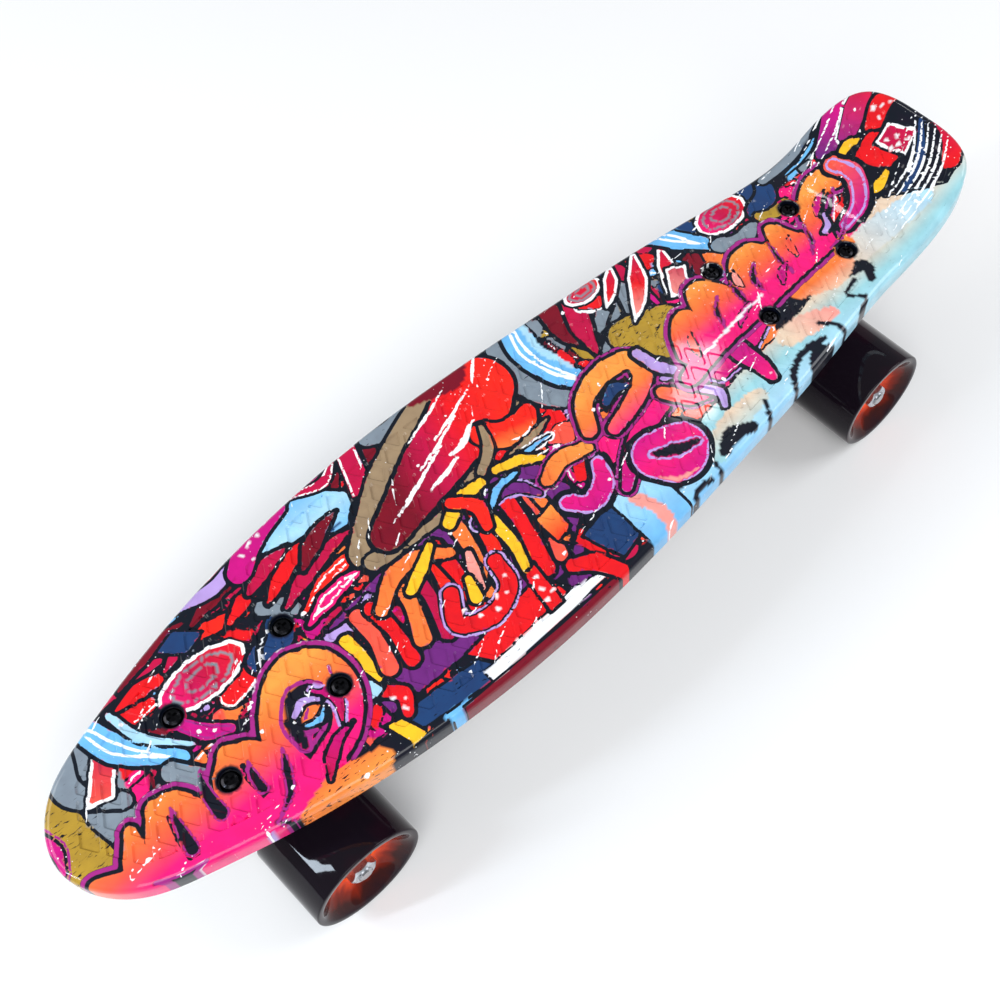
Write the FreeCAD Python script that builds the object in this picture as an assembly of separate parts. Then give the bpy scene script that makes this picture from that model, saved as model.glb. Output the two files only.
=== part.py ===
import FreeCAD, Part
import math
import os

os.makedirs("parts", exist_ok=True)

# Small plastic cruiser skateboard: a ribbed deck on two kingpin trucks with four urethane wheels.
# Millimetres. Nose towards -X, kicktail towards +X, +Z up, wheels standing on Z = 0.
# The origin is on the floor under the middle of the deck.

# Deck
DECK_LENGTH = 570.0
DECK_WIDTH = 147.0
DECK_TOP_Z = 98.0
DECK_DEPTH = 12.0
DECK_SKIN = 4.5
DECK_WALL = 5.0
EDGE_FILLET = 3.5
RIB_THICKNESS = 2.6
RIB_PITCH_ALONG = 38.0
RIB_PITCH_ACROSS = 26.0
KICK_LENGTH = 75.5
KICK_RADIUS = 75.0
KICK_ANGLE = 26.0

# Half outline of the deck from nose tip to tail end: share of the length, share of the half width.
OUTLINE = [
    (0.000, 0.000), (0.009, 0.240), (0.030, 0.420), (0.075, 0.580), (0.150, 0.757),
    (0.235, 0.895), (0.310, 0.967), (0.390, 1.000), (0.465, 0.989), (0.545, 0.947),
    (0.620, 0.893), (0.700, 0.832), (0.775, 0.752), (0.850, 0.668), (0.912, 0.645),
    (0.960, 0.612), (0.987, 0.500), (0.998, 0.300), (1.000, 0.000),
]

# Truck bolt pattern and hardware
NOSE_TO_FRONT_TRUCK = 105.0
TAIL_TO_REAR_TRUCK = 114.5
PATTERN_ALONG = 61.5
PATTERN_ACROSS = 41.3
BOLT_DIAMETER = 5.0
BOLT_CLEARANCE = 0.15
BOLT_HEAD_DIAMETER = 9.2
BOLT_HEAD_HEIGHT = 2.4
BOLT_HEAD_RIM = 1.08
BOLT_HEAD_SHOULDER = 1.92
BOLT_HEAD_SHOULDER_RADIUS = 3.68
BOLT_HEAD_CROWN_RADIUS = 2.48
BOLT_LENGTH = 25.0
BOLT_RECESS_DIAMETER = 11.0
BOLT_RECESS_DEPTH = 3.0
DRIVE_WIDTH = 5.0
DRIVE_SLOT = 1.2
DRIVE_DEPTH = 1.4
DECK_NUT_ACROSS_FLATS = 8.0
DECK_NUT_HEIGHT = 5.0
NUT_CORNER_SHARE = 0.12

# Riser pad and baseplate
PLATE_LENGTH = 78.0
PLATE_WIDTH = 56.0
PLATE_CORNER = 8.0
PLATE_THICKNESS = 6.0
RISER_THICKNESS = 3.0
KINGPIN_SEAT_IN = 8.0
KINGPIN_SEAT_DROP = 19.0
KINGPIN_LEAN = 20.0
KINGPIN_BOSS_RADIUS = 12.0
KINGPIN_BOSS_FLARE = 3.0
PIVOT_OUT = 24.0
PIVOT_DROP = 13.0
PIVOT_HOUSING_RADIUS = 11.2
PIVOT_HOUSING_REACH = 4.0

# Kingpin stack, measured along the kingpin away from its seat on the baseplate
KINGPIN_DIAMETER = 9.5
KINGPIN_CLEARANCE = 0.2
KINGPIN_HEAD_ACROSS_FLATS = 14.0
KINGPIN_HEAD_HEIGHT = 5.0
KINGPIN_HEAD_DEPTH = 10.0
KINGPIN_TIP = 1.4
KINGPIN_TIP_BEVEL = 1.0
WASHER_THICKNESS = 1.6
WASHER_LIP = 1.6
WASHER_LIP_WALL = 0.9
WASHER_LIP_CLEARANCE = 0.2
BUSHING_RADIUS = 11.5
BUSHING_WAIST = 9.6
BUSHING_BEVEL = 0.6
BUSHING_WAIST_SHARES = (0.3, 0.55, 0.8)
BOARD_BUSHING_HEIGHT = 13.0
ROAD_BUSHING_HEIGHT = 9.0
RING_THICKNESS = 6.0
RING_RADIUS = 14.0
RING_BORE_RADIUS = 7.2
RING_GAP = 0.1
KINGPIN_NUT_ACROSS_FLATS = 14.3
KINGPIN_NUT_HEIGHT = 7.0

# Pivot
PIVOT_NOSE_RADIUS = 5.5
PIVOT_CLEARANCE = 0.3
PIVOT_CUP_WALL = 2.4
PIVOT_CUP_FLOOR = 8.0
PIVOT_NECK_RADIUS = 6.5
PIVOT_NECK_LENGTH = 13.0
PIVOT_NECK_TAPER = 5.0

# Hanger and axle
HANGER_WIDTH = 79.0
HANGER_END_RADIUS = 8.0
HANGER_MID_RADIUS = 10.0
HANGER_MID_WIDTH = 26.0
HANGER_END_LENGTH = 7.0
HANGER_STEP = 0.6
HANGER_STEP_LENGTH = 2.0
WEB_WIDTH = 20.0
GUSSET_THICKNESS = 9.0
GUSSET_END_MARGIN = 4.0
GUSSET_RISE = 4.0
HANGER_BUSHING_ROOM = 2.2
AXLE_OUT = 12.0
AXLE_DIAMETER = 8.0
AXLE_END_MARGIN = 1.2
AXLE_BEVEL = 0.8
AXLE_NUT_ACROSS_FLATS = 13.0
AXLE_NUT_HEIGHT = 6.5
AXLE_WASHER_RADIUS = 6.0
AXLE_WASHER_THICKNESS = 1.0

# Wheel
WHEEL_DIAMETER = 60.0
WHEEL_WIDTH = 45.0
WHEEL_LIP_RADIUS = 2.4
WHEEL_DISH_RIM = 4.5
WHEEL_DISH_LIP_WIDTH = 1.6
WHEEL_DISH_LIP_DEPTH = 0.8
WHEEL_LIP_STEPS = 6
WHEEL_DISH_FLOOR_RADIUS = 12.6
WHEEL_CORE_RADIUS = 9.4

# Bearing, size 608
BEARING_BORE = 8.0
BEARING_DIAMETER = 22.0
BEARING_WIDTH = 7.0
BEARING_FIT = 0.02
BEARING_SPACER_LENGTH = 10.0
SPACER_RADIUS = 5.0
BALL_DIAMETER = 3.969
BALL_COUNT = 7
BALL_PITCH_RADIUS = 7.5
BALL_CLEARANCE = 0.04
RACE_GAP_HALF = 1.35
SHIELD_THICKNESS = 0.4
SHIELD_INSET = 0.25
SHIELD_GAP = 0.25
SHIELD_SEAT = 0.5
CAGE_THICKNESS = 1.1
CAGE_WIDTH = 4.4
CAGE_POCKET_GAP = 0.06

MARGIN = 40.0

HALF_LENGTH = DECK_LENGTH / 2
PLATE_TOP_Z = DECK_TOP_Z - DECK_DEPTH - RISER_THICKNESS
PLATE_BOTTOM_Z = PLATE_TOP_Z - PLATE_THICKNESS
AXLE_Z = WHEEL_DIAMETER / 2
WHEEL_DISH_RADIUS = WHEEL_DIAMETER / 2 - WHEEL_DISH_RIM
FRONT_X = -HALF_LENGTH + NOSE_TO_FRONT_TRUCK
REAR_X = HALF_LENGTH - TAIL_TO_REAR_TRUCK

# Truck geometry in its own frame: x towards the middle of the board, y across, z up.
SEAT = FreeCAD.Vector(KINGPIN_SEAT_IN, 0, PLATE_TOP_Z - KINGPIN_SEAT_DROP)
LEAN = math.radians(KINGPIN_LEAN)
KINGPIN_DIR = FreeCAD.Vector(math.sin(LEAN), 0, -math.cos(LEAN))
BOARD_BUSHING_START = WASHER_THICKNESS
RING_START = BOARD_BUSHING_START + BOARD_BUSHING_HEIGHT + RING_GAP
ROAD_BUSHING_START = RING_START + RING_THICKNESS + RING_GAP
ROAD_WASHER_START = ROAD_BUSHING_START + ROAD_BUSHING_HEIGHT
KINGPIN_NUT_START = ROAD_WASHER_START + WASHER_THICKNESS
KINGPIN_END = KINGPIN_NUT_START + KINGPIN_NUT_HEIGHT + KINGPIN_TIP
RING_CENTRE = SEAT + KINGPIN_DIR * (RING_START + RING_THICKNESS / 2)
PIVOT = FreeCAD.Vector(-PIVOT_OUT, 0, PLATE_TOP_Z - PIVOT_DROP)
STEER_DIR = (RING_CENTRE - PIVOT).normalize()
AXLE_X = -AXLE_OUT

# Stations along the axle, measured outwards from the middle of the hanger.
INNER_BEARING_Y = HANGER_WIDTH / 2 + AXLE_WASHER_THICKNESS
SPACER_Y = INNER_BEARING_Y + BEARING_WIDTH
OUTER_BEARING_Y = SPACER_Y + BEARING_SPACER_LENGTH
OUTER_WASHER_Y = OUTER_BEARING_Y + BEARING_WIDTH
AXLE_NUT_Y = OUTER_WASHER_Y + AXLE_WASHER_THICKNESS
AXLE_END_Y = AXLE_NUT_Y + AXLE_NUT_HEIGHT + AXLE_END_MARGIN
WHEEL_MIDDLE_Y = (INNER_BEARING_Y + OUTER_WASHER_Y) / 2
WHEEL_INNER_Y = WHEEL_MIDDLE_Y - WHEEL_WIDTH / 2
WHEEL_OUTER_Y = WHEEL_MIDDLE_Y + WHEEL_WIDTH / 2


def vec(x, y, z):
    return FreeCAD.Vector(x, y, z)


def save(name, shape):
    shape.exportStep(os.path.join("parts", name + ".step"))


def rod(start, direction, radius, low, high):
    """Cylinder about a line, from distance low to distance high along it."""
    return Part.makeCylinder(radius, high - low, start + direction * low, direction)


def cone(start, direction, radius_low, radius_high, low, high):
    return Part.makeCone(radius_low, radius_high, high - low, start + direction * low, direction)


def hexagon(start, direction, across_flats, low, high):
    """Hexagonal prism about a line."""
    radius = across_flats / math.sqrt(3)
    corners = []
    for index in range(7):
        angle = math.radians(60 * index)
        corners.append(vec(radius * math.cos(angle), radius * math.sin(angle), 0))
    prism = Part.Face(Part.makePolygon(corners)).extrude(vec(0, 0, high - low))
    prism.Placement = FreeCAD.Placement(
        start + direction * low, FreeCAD.Rotation(vec(0, 0, 1), direction))
    return prism


def chamfered_hexagon(start, direction, across_flats, low, high):
    """Hexagonal prism with its outer corners turned off at the far end."""
    prism = hexagon(start, direction, across_flats, low, high)
    height = high - low
    corner = across_flats / math.sqrt(3)
    turned_off = corner - NUT_CORNER_SHARE * across_flats
    tool = cone(start, direction, corner + height, turned_off, low, high)
    return prism.common(tool)


def turned(points, axis_point, axis_dir):
    """Solid of revolution from (along, radius) points about a line."""
    side = axis_dir.cross(vec(0, 1, 0))
    if side.Length < 0.5:
        side = vec(1, 0, 0)
    side.normalize()
    corners = [axis_point + axis_dir * along + side * radius for along, radius in points]
    corners.append(corners[0])
    return Part.Face(Part.makePolygon(corners)).revolve(axis_point, axis_dir, 360)


def rounded_plate(length, width, corner, low, high):
    plate = Part.makeBox(length, width, high - low, vec(-length / 2, -width / 2, low))
    upright = [edge for edge in plate.Edges
               if abs(edge.Vertexes[0].Z - edge.Vertexes[1].Z) > (high - low) / 2]
    return plate.makeFillet(corner, upright)


def pattern_points():
    points = []
    for sx in (-1, 1):
        for sy in (-1, 1):
            points.append((sx * PATTERN_ALONG / 2, sy * PATTERN_ACROSS / 2))
    return points


def pattern_holes(radius, low, high):
    return [Part.makeCylinder(radius, high - low, vec(x, y, low)) for x, y in pattern_points()]


# ---------------------------------------------------------------- deck

def outline_points(inset):
    """Closed loop of points round the deck, moved inwards by the inset."""
    half = [(-HALF_LENGTH + DECK_LENGTH * along, DECK_WIDTH / 2 * out) for along, out in OUTLINE]
    loop = half + [(x, -y) for x, y in reversed(half[1:-1])]
    count = len(loop)
    moved = []
    for index, (x, y) in enumerate(loop):
        ahead = loop[(index + 1) % count]
        behind = loop[index - 1]
        tangent = vec(ahead[0] - behind[0], ahead[1] - behind[1], 0).normalize()
        moved.append(vec(x + tangent.y * inset, y - tangent.x * inset, 0))
    return moved


def outline_prism(inset, low, high):
    curve = Part.BSplineCurve()
    curve.interpolate(Points=outline_points(inset), PeriodicFlag=True)
    face = Part.Face(Part.Wire(curve.toShape()))
    face.translate(vec(0, 0, low))
    return face.extrude(vec(0, 0, high - low))


def layer_edges(depth):
    """Side view of the deck at a depth below its top: flat, then an arc, then the raised tail."""
    angle = math.radians(KICK_ANGLE)
    start = HALF_LENGTH - KICK_LENGTH
    radius = KICK_RADIUS + depth
    centre_z = DECK_TOP_Z + KICK_RADIUS

    def on_arc(turn):
        return vec(start + radius * math.sin(turn), 0, centre_z - radius * math.cos(turn))

    flat_start = vec(-HALF_LENGTH - MARGIN, 0, DECK_TOP_Z - depth)
    tail_end = on_arc(angle) + vec(math.cos(angle), 0, math.sin(angle)) * KICK_LENGTH
    return [
        Part.LineSegment(flat_start, on_arc(0)).toShape(),
        Part.Arc(on_arc(0), on_arc(angle / 2), on_arc(angle)).toShape(),
        Part.LineSegment(on_arc(angle), tail_end).toShape(),
    ]


def deck_layer(upper, lower):
    """Slab between two depths below the deck's top, wider than the deck."""
    top = layer_edges(upper)
    bottom = layer_edges(lower)
    close_start = Part.LineSegment(
        top[0].firstVertex().Point, bottom[0].firstVertex().Point).toShape()
    close_end = Part.LineSegment(
        top[-1].lastVertex().Point, bottom[-1].lastVertex().Point).toShape()
    face = Part.Face(Part.Wire(Part.__sortEdges__(top + bottom + [close_start, close_end])))
    face.translate(vec(0, -DECK_WIDTH, 0))
    return face.extrude(vec(0, 2 * DECK_WIDTH, 0))


def top_rim_edges(solid):
    """Edges where the deck's top meets its side wall."""
    top_face_edges = []
    top = Part.makeCompound(layer_edges(0))
    for edge in solid.Edges:
        middle = edge.valueAt((edge.FirstParameter + edge.LastParameter) / 2)
        on_top = top.distToShape(Part.Vertex(middle.x, 0, middle.z))[0] < 0.01
        across = abs(edge.BoundBox.XLength) < 0.01 and abs(middle.y) < 1
        if on_top and not across:
            top_face_edges.append(edge)
    return top_face_edges


def rib_grid():
    ribs = []
    height = 3 * MARGIN
    low = DECK_TOP_Z - MARGIN
    along_count = int(HALF_LENGTH / RIB_PITCH_ALONG) + 1
    for index in range(-along_count, along_count + 1):
        x = index * RIB_PITCH_ALONG - RIB_THICKNESS / 2
        ribs.append(Part.makeBox(RIB_THICKNESS, 2 * DECK_WIDTH, height, vec(x, -DECK_WIDTH, low)))
    across_count = int(DECK_WIDTH / 2 / RIB_PITCH_ACROSS) + 1
    for index in range(-across_count, across_count + 1):
        y = index * RIB_PITCH_ACROSS - RIB_THICKNESS / 2
        ribs.append(Part.makeBox(DECK_LENGTH, RIB_THICKNESS, height, vec(-HALF_LENGTH, y, low)))
    return ribs


def build_deck():
    low = DECK_TOP_Z - MARGIN
    high = DECK_TOP_Z + 2 * MARGIN
    deck = deck_layer(0, DECK_DEPTH).common(outline_prism(0, low, high))
    deck = deck.Solids[0].makeFillet(EDGE_FILLET, top_rim_edges(deck.Solids[0]))
    pocket = deck_layer(DECK_SKIN, DECK_DEPTH + MARGIN / 4)
    pocket = pocket.common(outline_prism(DECK_WALL, low, high))
    pads = []
    for x in (FRONT_X, REAR_X):
        pad = rounded_plate(PLATE_LENGTH, PLATE_WIDTH, PLATE_CORNER, low, high)
        pad.translate(vec(x, 0, 0))
        pads.append(pad)
    cells = pocket.cut(rib_grid() + pads)
    holes = []
    for x in (FRONT_X, REAR_X):
        tools = pattern_holes(BOLT_DIAMETER / 2 + BOLT_CLEARANCE, low, high)
        tools += pattern_holes(BOLT_RECESS_DIAMETER / 2, DECK_TOP_Z - BOLT_RECESS_DEPTH, high)
        for tool in tools:
            tool.translate(vec(x, 0, 0))
        holes += tools
    return deck.cut(cells.Solids + holes)


# ---------------------------------------------------------------- truck pieces in the truck's frame

def build_riser():
    pad = rounded_plate(PLATE_LENGTH, PLATE_WIDTH, PLATE_CORNER, PLATE_TOP_Z,
                        PLATE_TOP_Z + RISER_THICKNESS)
    return pad.cut(pattern_holes(BOLT_DIAMETER / 2 + BOLT_CLEARANCE, 0, DECK_TOP_Z))


def build_deck_bolts():
    bolts = []
    seat_z = DECK_TOP_Z - BOLT_RECESS_DEPTH
    for x, y in pattern_points():
        foot = vec(x, y, seat_z)
        head = turned(
            [(0, 0), (0, BOLT_HEAD_DIAMETER / 2), (BOLT_HEAD_RIM, BOLT_HEAD_DIAMETER / 2),
             (BOLT_HEAD_SHOULDER, BOLT_HEAD_SHOULDER_RADIUS),
             (BOLT_HEAD_HEIGHT, BOLT_HEAD_CROWN_RADIUS), (BOLT_HEAD_HEIGHT, 0)],
            foot, vec(0, 0, 1))
        shank = rod(foot, vec(0, 0, -1), BOLT_DIAMETER / 2, 0, BOLT_LENGTH)
        slots = []
        for size_x, size_y in ((DRIVE_WIDTH, DRIVE_SLOT), (DRIVE_SLOT, DRIVE_WIDTH)):
            corner = foot + vec(-size_x / 2, -size_y / 2, BOLT_HEAD_HEIGHT - DRIVE_DEPTH)
            slots.append(Part.makeBox(size_x, size_y, DRIVE_DEPTH * 2, corner))
        bolts.append(head.fuse(shank).cut(slots))
    return Part.makeCompound(bolts)


def build_deck_nuts():
    nuts = []
    for x, y in pattern_points():
        foot = vec(x, y, PLATE_BOTTOM_Z)
        nut = chamfered_hexagon(foot, vec(0, 0, -1), DECK_NUT_ACROSS_FLATS, 0, DECK_NUT_HEIGHT)
        nuts.append(nut.cut(rod(foot, vec(0, 0, -1), BOLT_DIAMETER / 2, -1, DECK_NUT_HEIGHT + 1)))
    return Part.makeCompound(nuts)


def build_baseplate():
    plate = rounded_plate(PLATE_LENGTH, PLATE_WIDTH, PLATE_CORNER, PLATE_BOTTOM_Z, PLATE_TOP_Z)
    boss = cone(SEAT, KINGPIN_DIR, KINGPIN_BOSS_RADIUS + KINGPIN_BOSS_FLARE, KINGPIN_BOSS_RADIUS, -MARGIN / 2, 0)
    housing = rod(PIVOT, STEER_DIR, PIVOT_HOUSING_RADIUS, -MARGIN / 2, PIVOT_HOUSING_REACH)
    body = plate.fuse([boss, housing])
    body = body.cut(Part.makeBox(4 * MARGIN, 4 * MARGIN, 2 * MARGIN,
                                 vec(-2 * MARGIN, -2 * MARGIN, PLATE_TOP_Z)))
    keep = Part.makeBox(PLATE_LENGTH, PLATE_WIDTH, 2 * MARGIN,
                        vec(-PLATE_LENGTH / 2, -PLATE_WIDTH / 2, PLATE_TOP_Z - 2 * MARGIN))
    body = body.common(keep)
    cup_radius = PIVOT_NOSE_RADIUS + PIVOT_CLEARANCE + PIVOT_CUP_WALL
    tools = [
        rod(PIVOT, STEER_DIR, cup_radius, -PIVOT_CUP_FLOOR, MARGIN / 2),
        rod(SEAT, KINGPIN_DIR, KINGPIN_DIAMETER / 2 + KINGPIN_CLEARANCE, -MARGIN, MARGIN),
        rod(SEAT, KINGPIN_DIR, KINGPIN_HEAD_ACROSS_FLATS / math.sqrt(3) + KINGPIN_CLEARANCE,
            -MARGIN, -KINGPIN_HEAD_DEPTH),
    ]
    tools += pattern_holes(BOLT_DIAMETER / 2 + BOLT_CLEARANCE, 0, DECK_TOP_Z)
    return body.cut(tools)


def build_pivot_cup():
    bore = PIVOT_NOSE_RADIUS + PIVOT_CLEARANCE
    cup = rod(PIVOT, STEER_DIR, bore + PIVOT_CUP_WALL, -PIVOT_CUP_FLOOR, PIVOT_HOUSING_REACH)
    return cup.cut([Part.makeSphere(bore, PIVOT), rod(PIVOT, STEER_DIR, bore, 0, MARGIN)])


def build_kingpin():
    head_high = -KINGPIN_HEAD_DEPTH
    head = hexagon(SEAT, KINGPIN_DIR, KINGPIN_HEAD_ACROSS_FLATS,
                   head_high - KINGPIN_HEAD_HEIGHT, head_high)
    bevel_start = KINGPIN_END - KINGPIN_TIP_BEVEL
    shank = rod(SEAT, KINGPIN_DIR, KINGPIN_DIAMETER / 2, head_high, bevel_start)
    tip = cone(SEAT, KINGPIN_DIR, KINGPIN_DIAMETER / 2, KINGPIN_DIAMETER / 2 - KINGPIN_TIP_BEVEL,
               bevel_start, KINGPIN_END)
    return head.fuse([shank, tip])


def build_kingpin_nut():
    nut = chamfered_hexagon(SEAT, KINGPIN_DIR, KINGPIN_NUT_ACROSS_FLATS, KINGPIN_NUT_START,
                            KINGPIN_NUT_START + KINGPIN_NUT_HEIGHT)
    return nut.cut(rod(SEAT, KINGPIN_DIR, KINGPIN_DIAMETER / 2, 0, MARGIN * 2))


def build_bushing(start, height):
    """Waisted urethane ring round the kingpin."""
    bore = KINGPIN_DIAMETER / 2 + KINGPIN_CLEARANCE
    narrowing, waist, widening = [start + height * share for share in BUSHING_WAIST_SHARES]
    end = start + height
    points = [
        (start, bore), (start, BUSHING_RADIUS - BUSHING_BEVEL),
        (start + BUSHING_BEVEL, BUSHING_RADIUS),
        (narrowing, BUSHING_RADIUS), (waist, BUSHING_WAIST),
        (widening, BUSHING_RADIUS), (end, BUSHING_RADIUS), (end, bore),
    ]
    return turned(points, SEAT, KINGPIN_DIR)


def build_cup_washer(start, lip_sign):
    """Dished steel washer whose lip holds the end of a bushing."""
    bore = KINGPIN_DIAMETER / 2 + KINGPIN_CLEARANCE
    inner = BUSHING_RADIUS + WASHER_LIP_CLEARANCE
    outer = inner + WASHER_LIP_WALL
    flat = start if lip_sign > 0 else start + WASHER_THICKNESS
    face = flat + lip_sign * WASHER_THICKNESS
    lip = face + lip_sign * WASHER_LIP
    points = [(flat, bore), (flat, outer), (lip, outer), (lip, inner), (face, inner), (face, bore)]
    return turned(points, SEAT, KINGPIN_DIR)


def truck_to_board(shape, rear):
    """Place a piece made in the truck's frame under the nose or under the tail."""
    placed = shape.copy()
    if rear:
        placed.rotate(vec(0, 0, 0), vec(0, 0, 1), 180)
    placed.translate(vec(REAR_X if rear else FRONT_X, 0, 0))
    return placed


def build_hanger():
    axle = vec(AXLE_X, 0, AXLE_Z)
    across = vec(0, 1, 0)
    half = HANGER_WIDTH / 2
    mid = HANGER_MID_WIDTH / 2
    collar = half - HANGER_END_LENGTH
    step = collar - HANGER_STEP_LENGTH
    tube = turned(
        [(-half, 0), (-half, HANGER_END_RADIUS), (-collar, HANGER_END_RADIUS),
         (-step, HANGER_END_RADIUS - HANGER_STEP), (-mid, HANGER_MID_RADIUS),
         (mid, HANGER_MID_RADIUS), (step, HANGER_END_RADIUS - HANGER_STEP),
         (collar, HANGER_END_RADIUS), (half, HANGER_END_RADIUS), (half, 0)],
        axle, across)
    neck_end = PIVOT + STEER_DIR * PIVOT_NECK_LENGTH
    ring_edge = RING_CENTRE - vec(math.cos(LEAN), 0, math.sin(LEAN)) * (RING_RADIUS - 1)
    # Side outline of the web, from the neck down the ring's edge and round the axle.
    upright = [
        neck_end + vec(-2.5, 0, 2.0), neck_end + vec(3.5, 0, -2.5),
        vec(ring_edge.x - 3.5, 0, ring_edge.z + 4), ring_edge + vec(4, 0, 1),
        ring_edge + vec(3, 0, -6), vec(AXLE_X + 6, 0, AXLE_Z - 4), vec(AXLE_X - 8, 0, AXLE_Z),
        neck_end + vec(-6.0, 0, -9.0),
    ]
    upright.append(upright[0])
    web = Part.Face(Part.makePolygon(upright))
    web.translate(vec(0, -WEB_WIDTH / 2, 0))
    web = web.extrude(vec(0, WEB_WIDTH, 0))
    gusset_top = (neck_end.z + AXLE_Z) / 2 + GUSSET_RISE
    wing_end = half - GUSSET_END_MARGIN
    gusset_x = AXLE_X - GUSSET_THICKNESS / 2
    wing = [
        vec(gusset_x, -wing_end, AXLE_Z), vec(gusset_x, -mid, gusset_top),
        vec(gusset_x, mid, gusset_top), vec(gusset_x, wing_end, AXLE_Z),
    ]
    wing.append(wing[0])
    gusset = Part.Face(Part.makePolygon(wing)).extrude(vec(GUSSET_THICKNESS, 0, 0))
    room = BUSHING_RADIUS + HANGER_BUSHING_ROOM
    body = tube.fuse([web, gusset])
    body = body.cut([
        rod(SEAT, KINGPIN_DIR, room, -MARGIN, RING_START),
        rod(SEAT, KINGPIN_DIR, room, RING_START + RING_THICKNESS, MARGIN * 2),
    ])
    ring = rod(SEAT, KINGPIN_DIR, RING_RADIUS, RING_START, RING_START + RING_THICKNESS)
    nose = Part.makeSphere(PIVOT_NOSE_RADIUS, PIVOT)
    shaft = rod(PIVOT, STEER_DIR, PIVOT_NOSE_RADIUS, 0, PIVOT_NECK_LENGTH - PIVOT_NECK_TAPER)
    neck = cone(PIVOT, STEER_DIR, PIVOT_NOSE_RADIUS, PIVOT_NECK_RADIUS,
                PIVOT_NECK_LENGTH - PIVOT_NECK_TAPER, PIVOT_NECK_LENGTH)
    body = body.fuse([ring, nose, shaft, neck])
    return body.cut([
        rod(SEAT, KINGPIN_DIR, RING_BORE_RADIUS, -MARGIN, MARGIN * 2),
        rod(axle, across, AXLE_DIAMETER / 2, -half - 1, half + 1),
    ]).removeSplitter()


def axle_piece(points):
    """Turned piece about the axle, from (distance from the hanger's middle, radius) points."""
    return turned(points, vec(AXLE_X, 0, AXLE_Z), vec(0, 1, 0))


def other_end(shape):
    """Copy of a piece at the other end of the axle."""
    return shape.mirror(vec(0, 0, 0), vec(0, 1, 0))


def build_axle():
    radius = AXLE_DIAMETER / 2
    end = AXLE_END_Y
    bevel_start = end - AXLE_BEVEL
    return axle_piece([(-end, 0), (-end, radius - AXLE_BEVEL), (-bevel_start, radius),
                       (bevel_start, radius), (end, radius - AXLE_BEVEL), (end, 0)])


def build_axle_nuts():
    centre = vec(AXLE_X, 0, AXLE_Z)
    across = vec(0, 1, 0)
    nut = chamfered_hexagon(centre, across, AXLE_NUT_ACROSS_FLATS, AXLE_NUT_Y,
                            AXLE_NUT_Y + AXLE_NUT_HEIGHT)
    nut = nut.cut(rod(centre, across, AXLE_DIAMETER / 2, 0, AXLE_END_Y + 1))
    return Part.makeCompound([nut, other_end(nut)])


def ring_piece(low, high, inner, outer):
    return axle_piece([(low, inner), (low, outer), (high, outer), (high, inner)])


def build_axle_washers():
    bore = AXLE_DIAMETER / 2
    washers = []
    for start in (HANGER_WIDTH / 2, OUTER_WASHER_Y):
        washer = ring_piece(start, start + AXLE_WASHER_THICKNESS, bore, AXLE_WASHER_RADIUS)
        washers += [washer, other_end(washer)]
    return Part.makeCompound(washers)


def build_wheel():
    """Urethane tyre with dished faces, a rounded tread edge and a seat for each bearing."""
    radius = WHEEL_DIAMETER / 2
    seat = BEARING_DIAMETER / 2
    inner_seat = INNER_BEARING_Y + BEARING_WIDTH
    low = WHEEL_INNER_Y
    high = WHEEL_OUTER_Y
    lip = []
    for step in range(1, WHEEL_LIP_STEPS + 1):
        turn = math.pi / 2 * step / WHEEL_LIP_STEPS
        lip.append((WHEEL_LIP_RADIUS * (1 - math.cos(turn)),
                    radius - WHEEL_LIP_RADIUS * (1 - math.sin(turn))))
    lip_radius = WHEEL_DISH_RADIUS + WHEEL_DISH_LIP_WIDTH
    profile = [
        (low + WHEEL_DISH_LIP_DEPTH, WHEEL_DISH_RADIUS), (low, lip_radius),
        (low, radius - WHEEL_LIP_RADIUS)]
    profile += [(low + along, out) for along, out in lip]
    profile += [(high - along, out) for along, out in reversed(lip)]
    profile += [
        (high, radius - WHEEL_LIP_RADIUS), (high, lip_radius),
        (high - WHEEL_DISH_LIP_DEPTH, WHEEL_DISH_RADIUS),
        (OUTER_WASHER_Y, WHEEL_DISH_FLOOR_RADIUS), (OUTER_WASHER_Y, seat),
        (OUTER_BEARING_Y, seat), (OUTER_BEARING_Y, WHEEL_CORE_RADIUS),
        (inner_seat, WHEEL_CORE_RADIUS), (inner_seat, seat),
        (INNER_BEARING_Y, seat), (INNER_BEARING_Y, WHEEL_DISH_FLOOR_RADIUS)]
    return axle_piece(profile)


def bearing_pair(make_one):
    """The same bearing piece at the inner and at the outer bearing of a wheel."""
    return Part.makeCompound([make_one(INNER_BEARING_Y), make_one(OUTER_BEARING_Y)])


def groove(start):
    centre = vec(AXLE_X, start + BEARING_WIDTH / 2, AXLE_Z)
    return Part.makeTorus(BALL_PITCH_RADIUS, BALL_DIAMETER / 2 + BALL_CLEARANCE,
                          centre, vec(0, 1, 0))


def build_outer_race(start):
    inner = BALL_PITCH_RADIUS + RACE_GAP_HALF
    step = inner + SHIELD_SEAT
    seat = SHIELD_INSET + SHIELD_THICKNESS
    end = start + BEARING_WIDTH
    race = axle_piece([
        (start, step), (start, BEARING_DIAMETER / 2), (end, BEARING_DIAMETER / 2), (end, step),
        (end - seat, step), (end - seat, inner), (start + seat, inner), (start + seat, step)])
    return race.cut(groove(start))


def build_inner_race(start):
    race = ring_piece(start, start + BEARING_WIDTH, BEARING_BORE / 2 + BEARING_FIT,
                      BALL_PITCH_RADIUS - RACE_GAP_HALF)
    return race.cut(groove(start))


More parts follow.
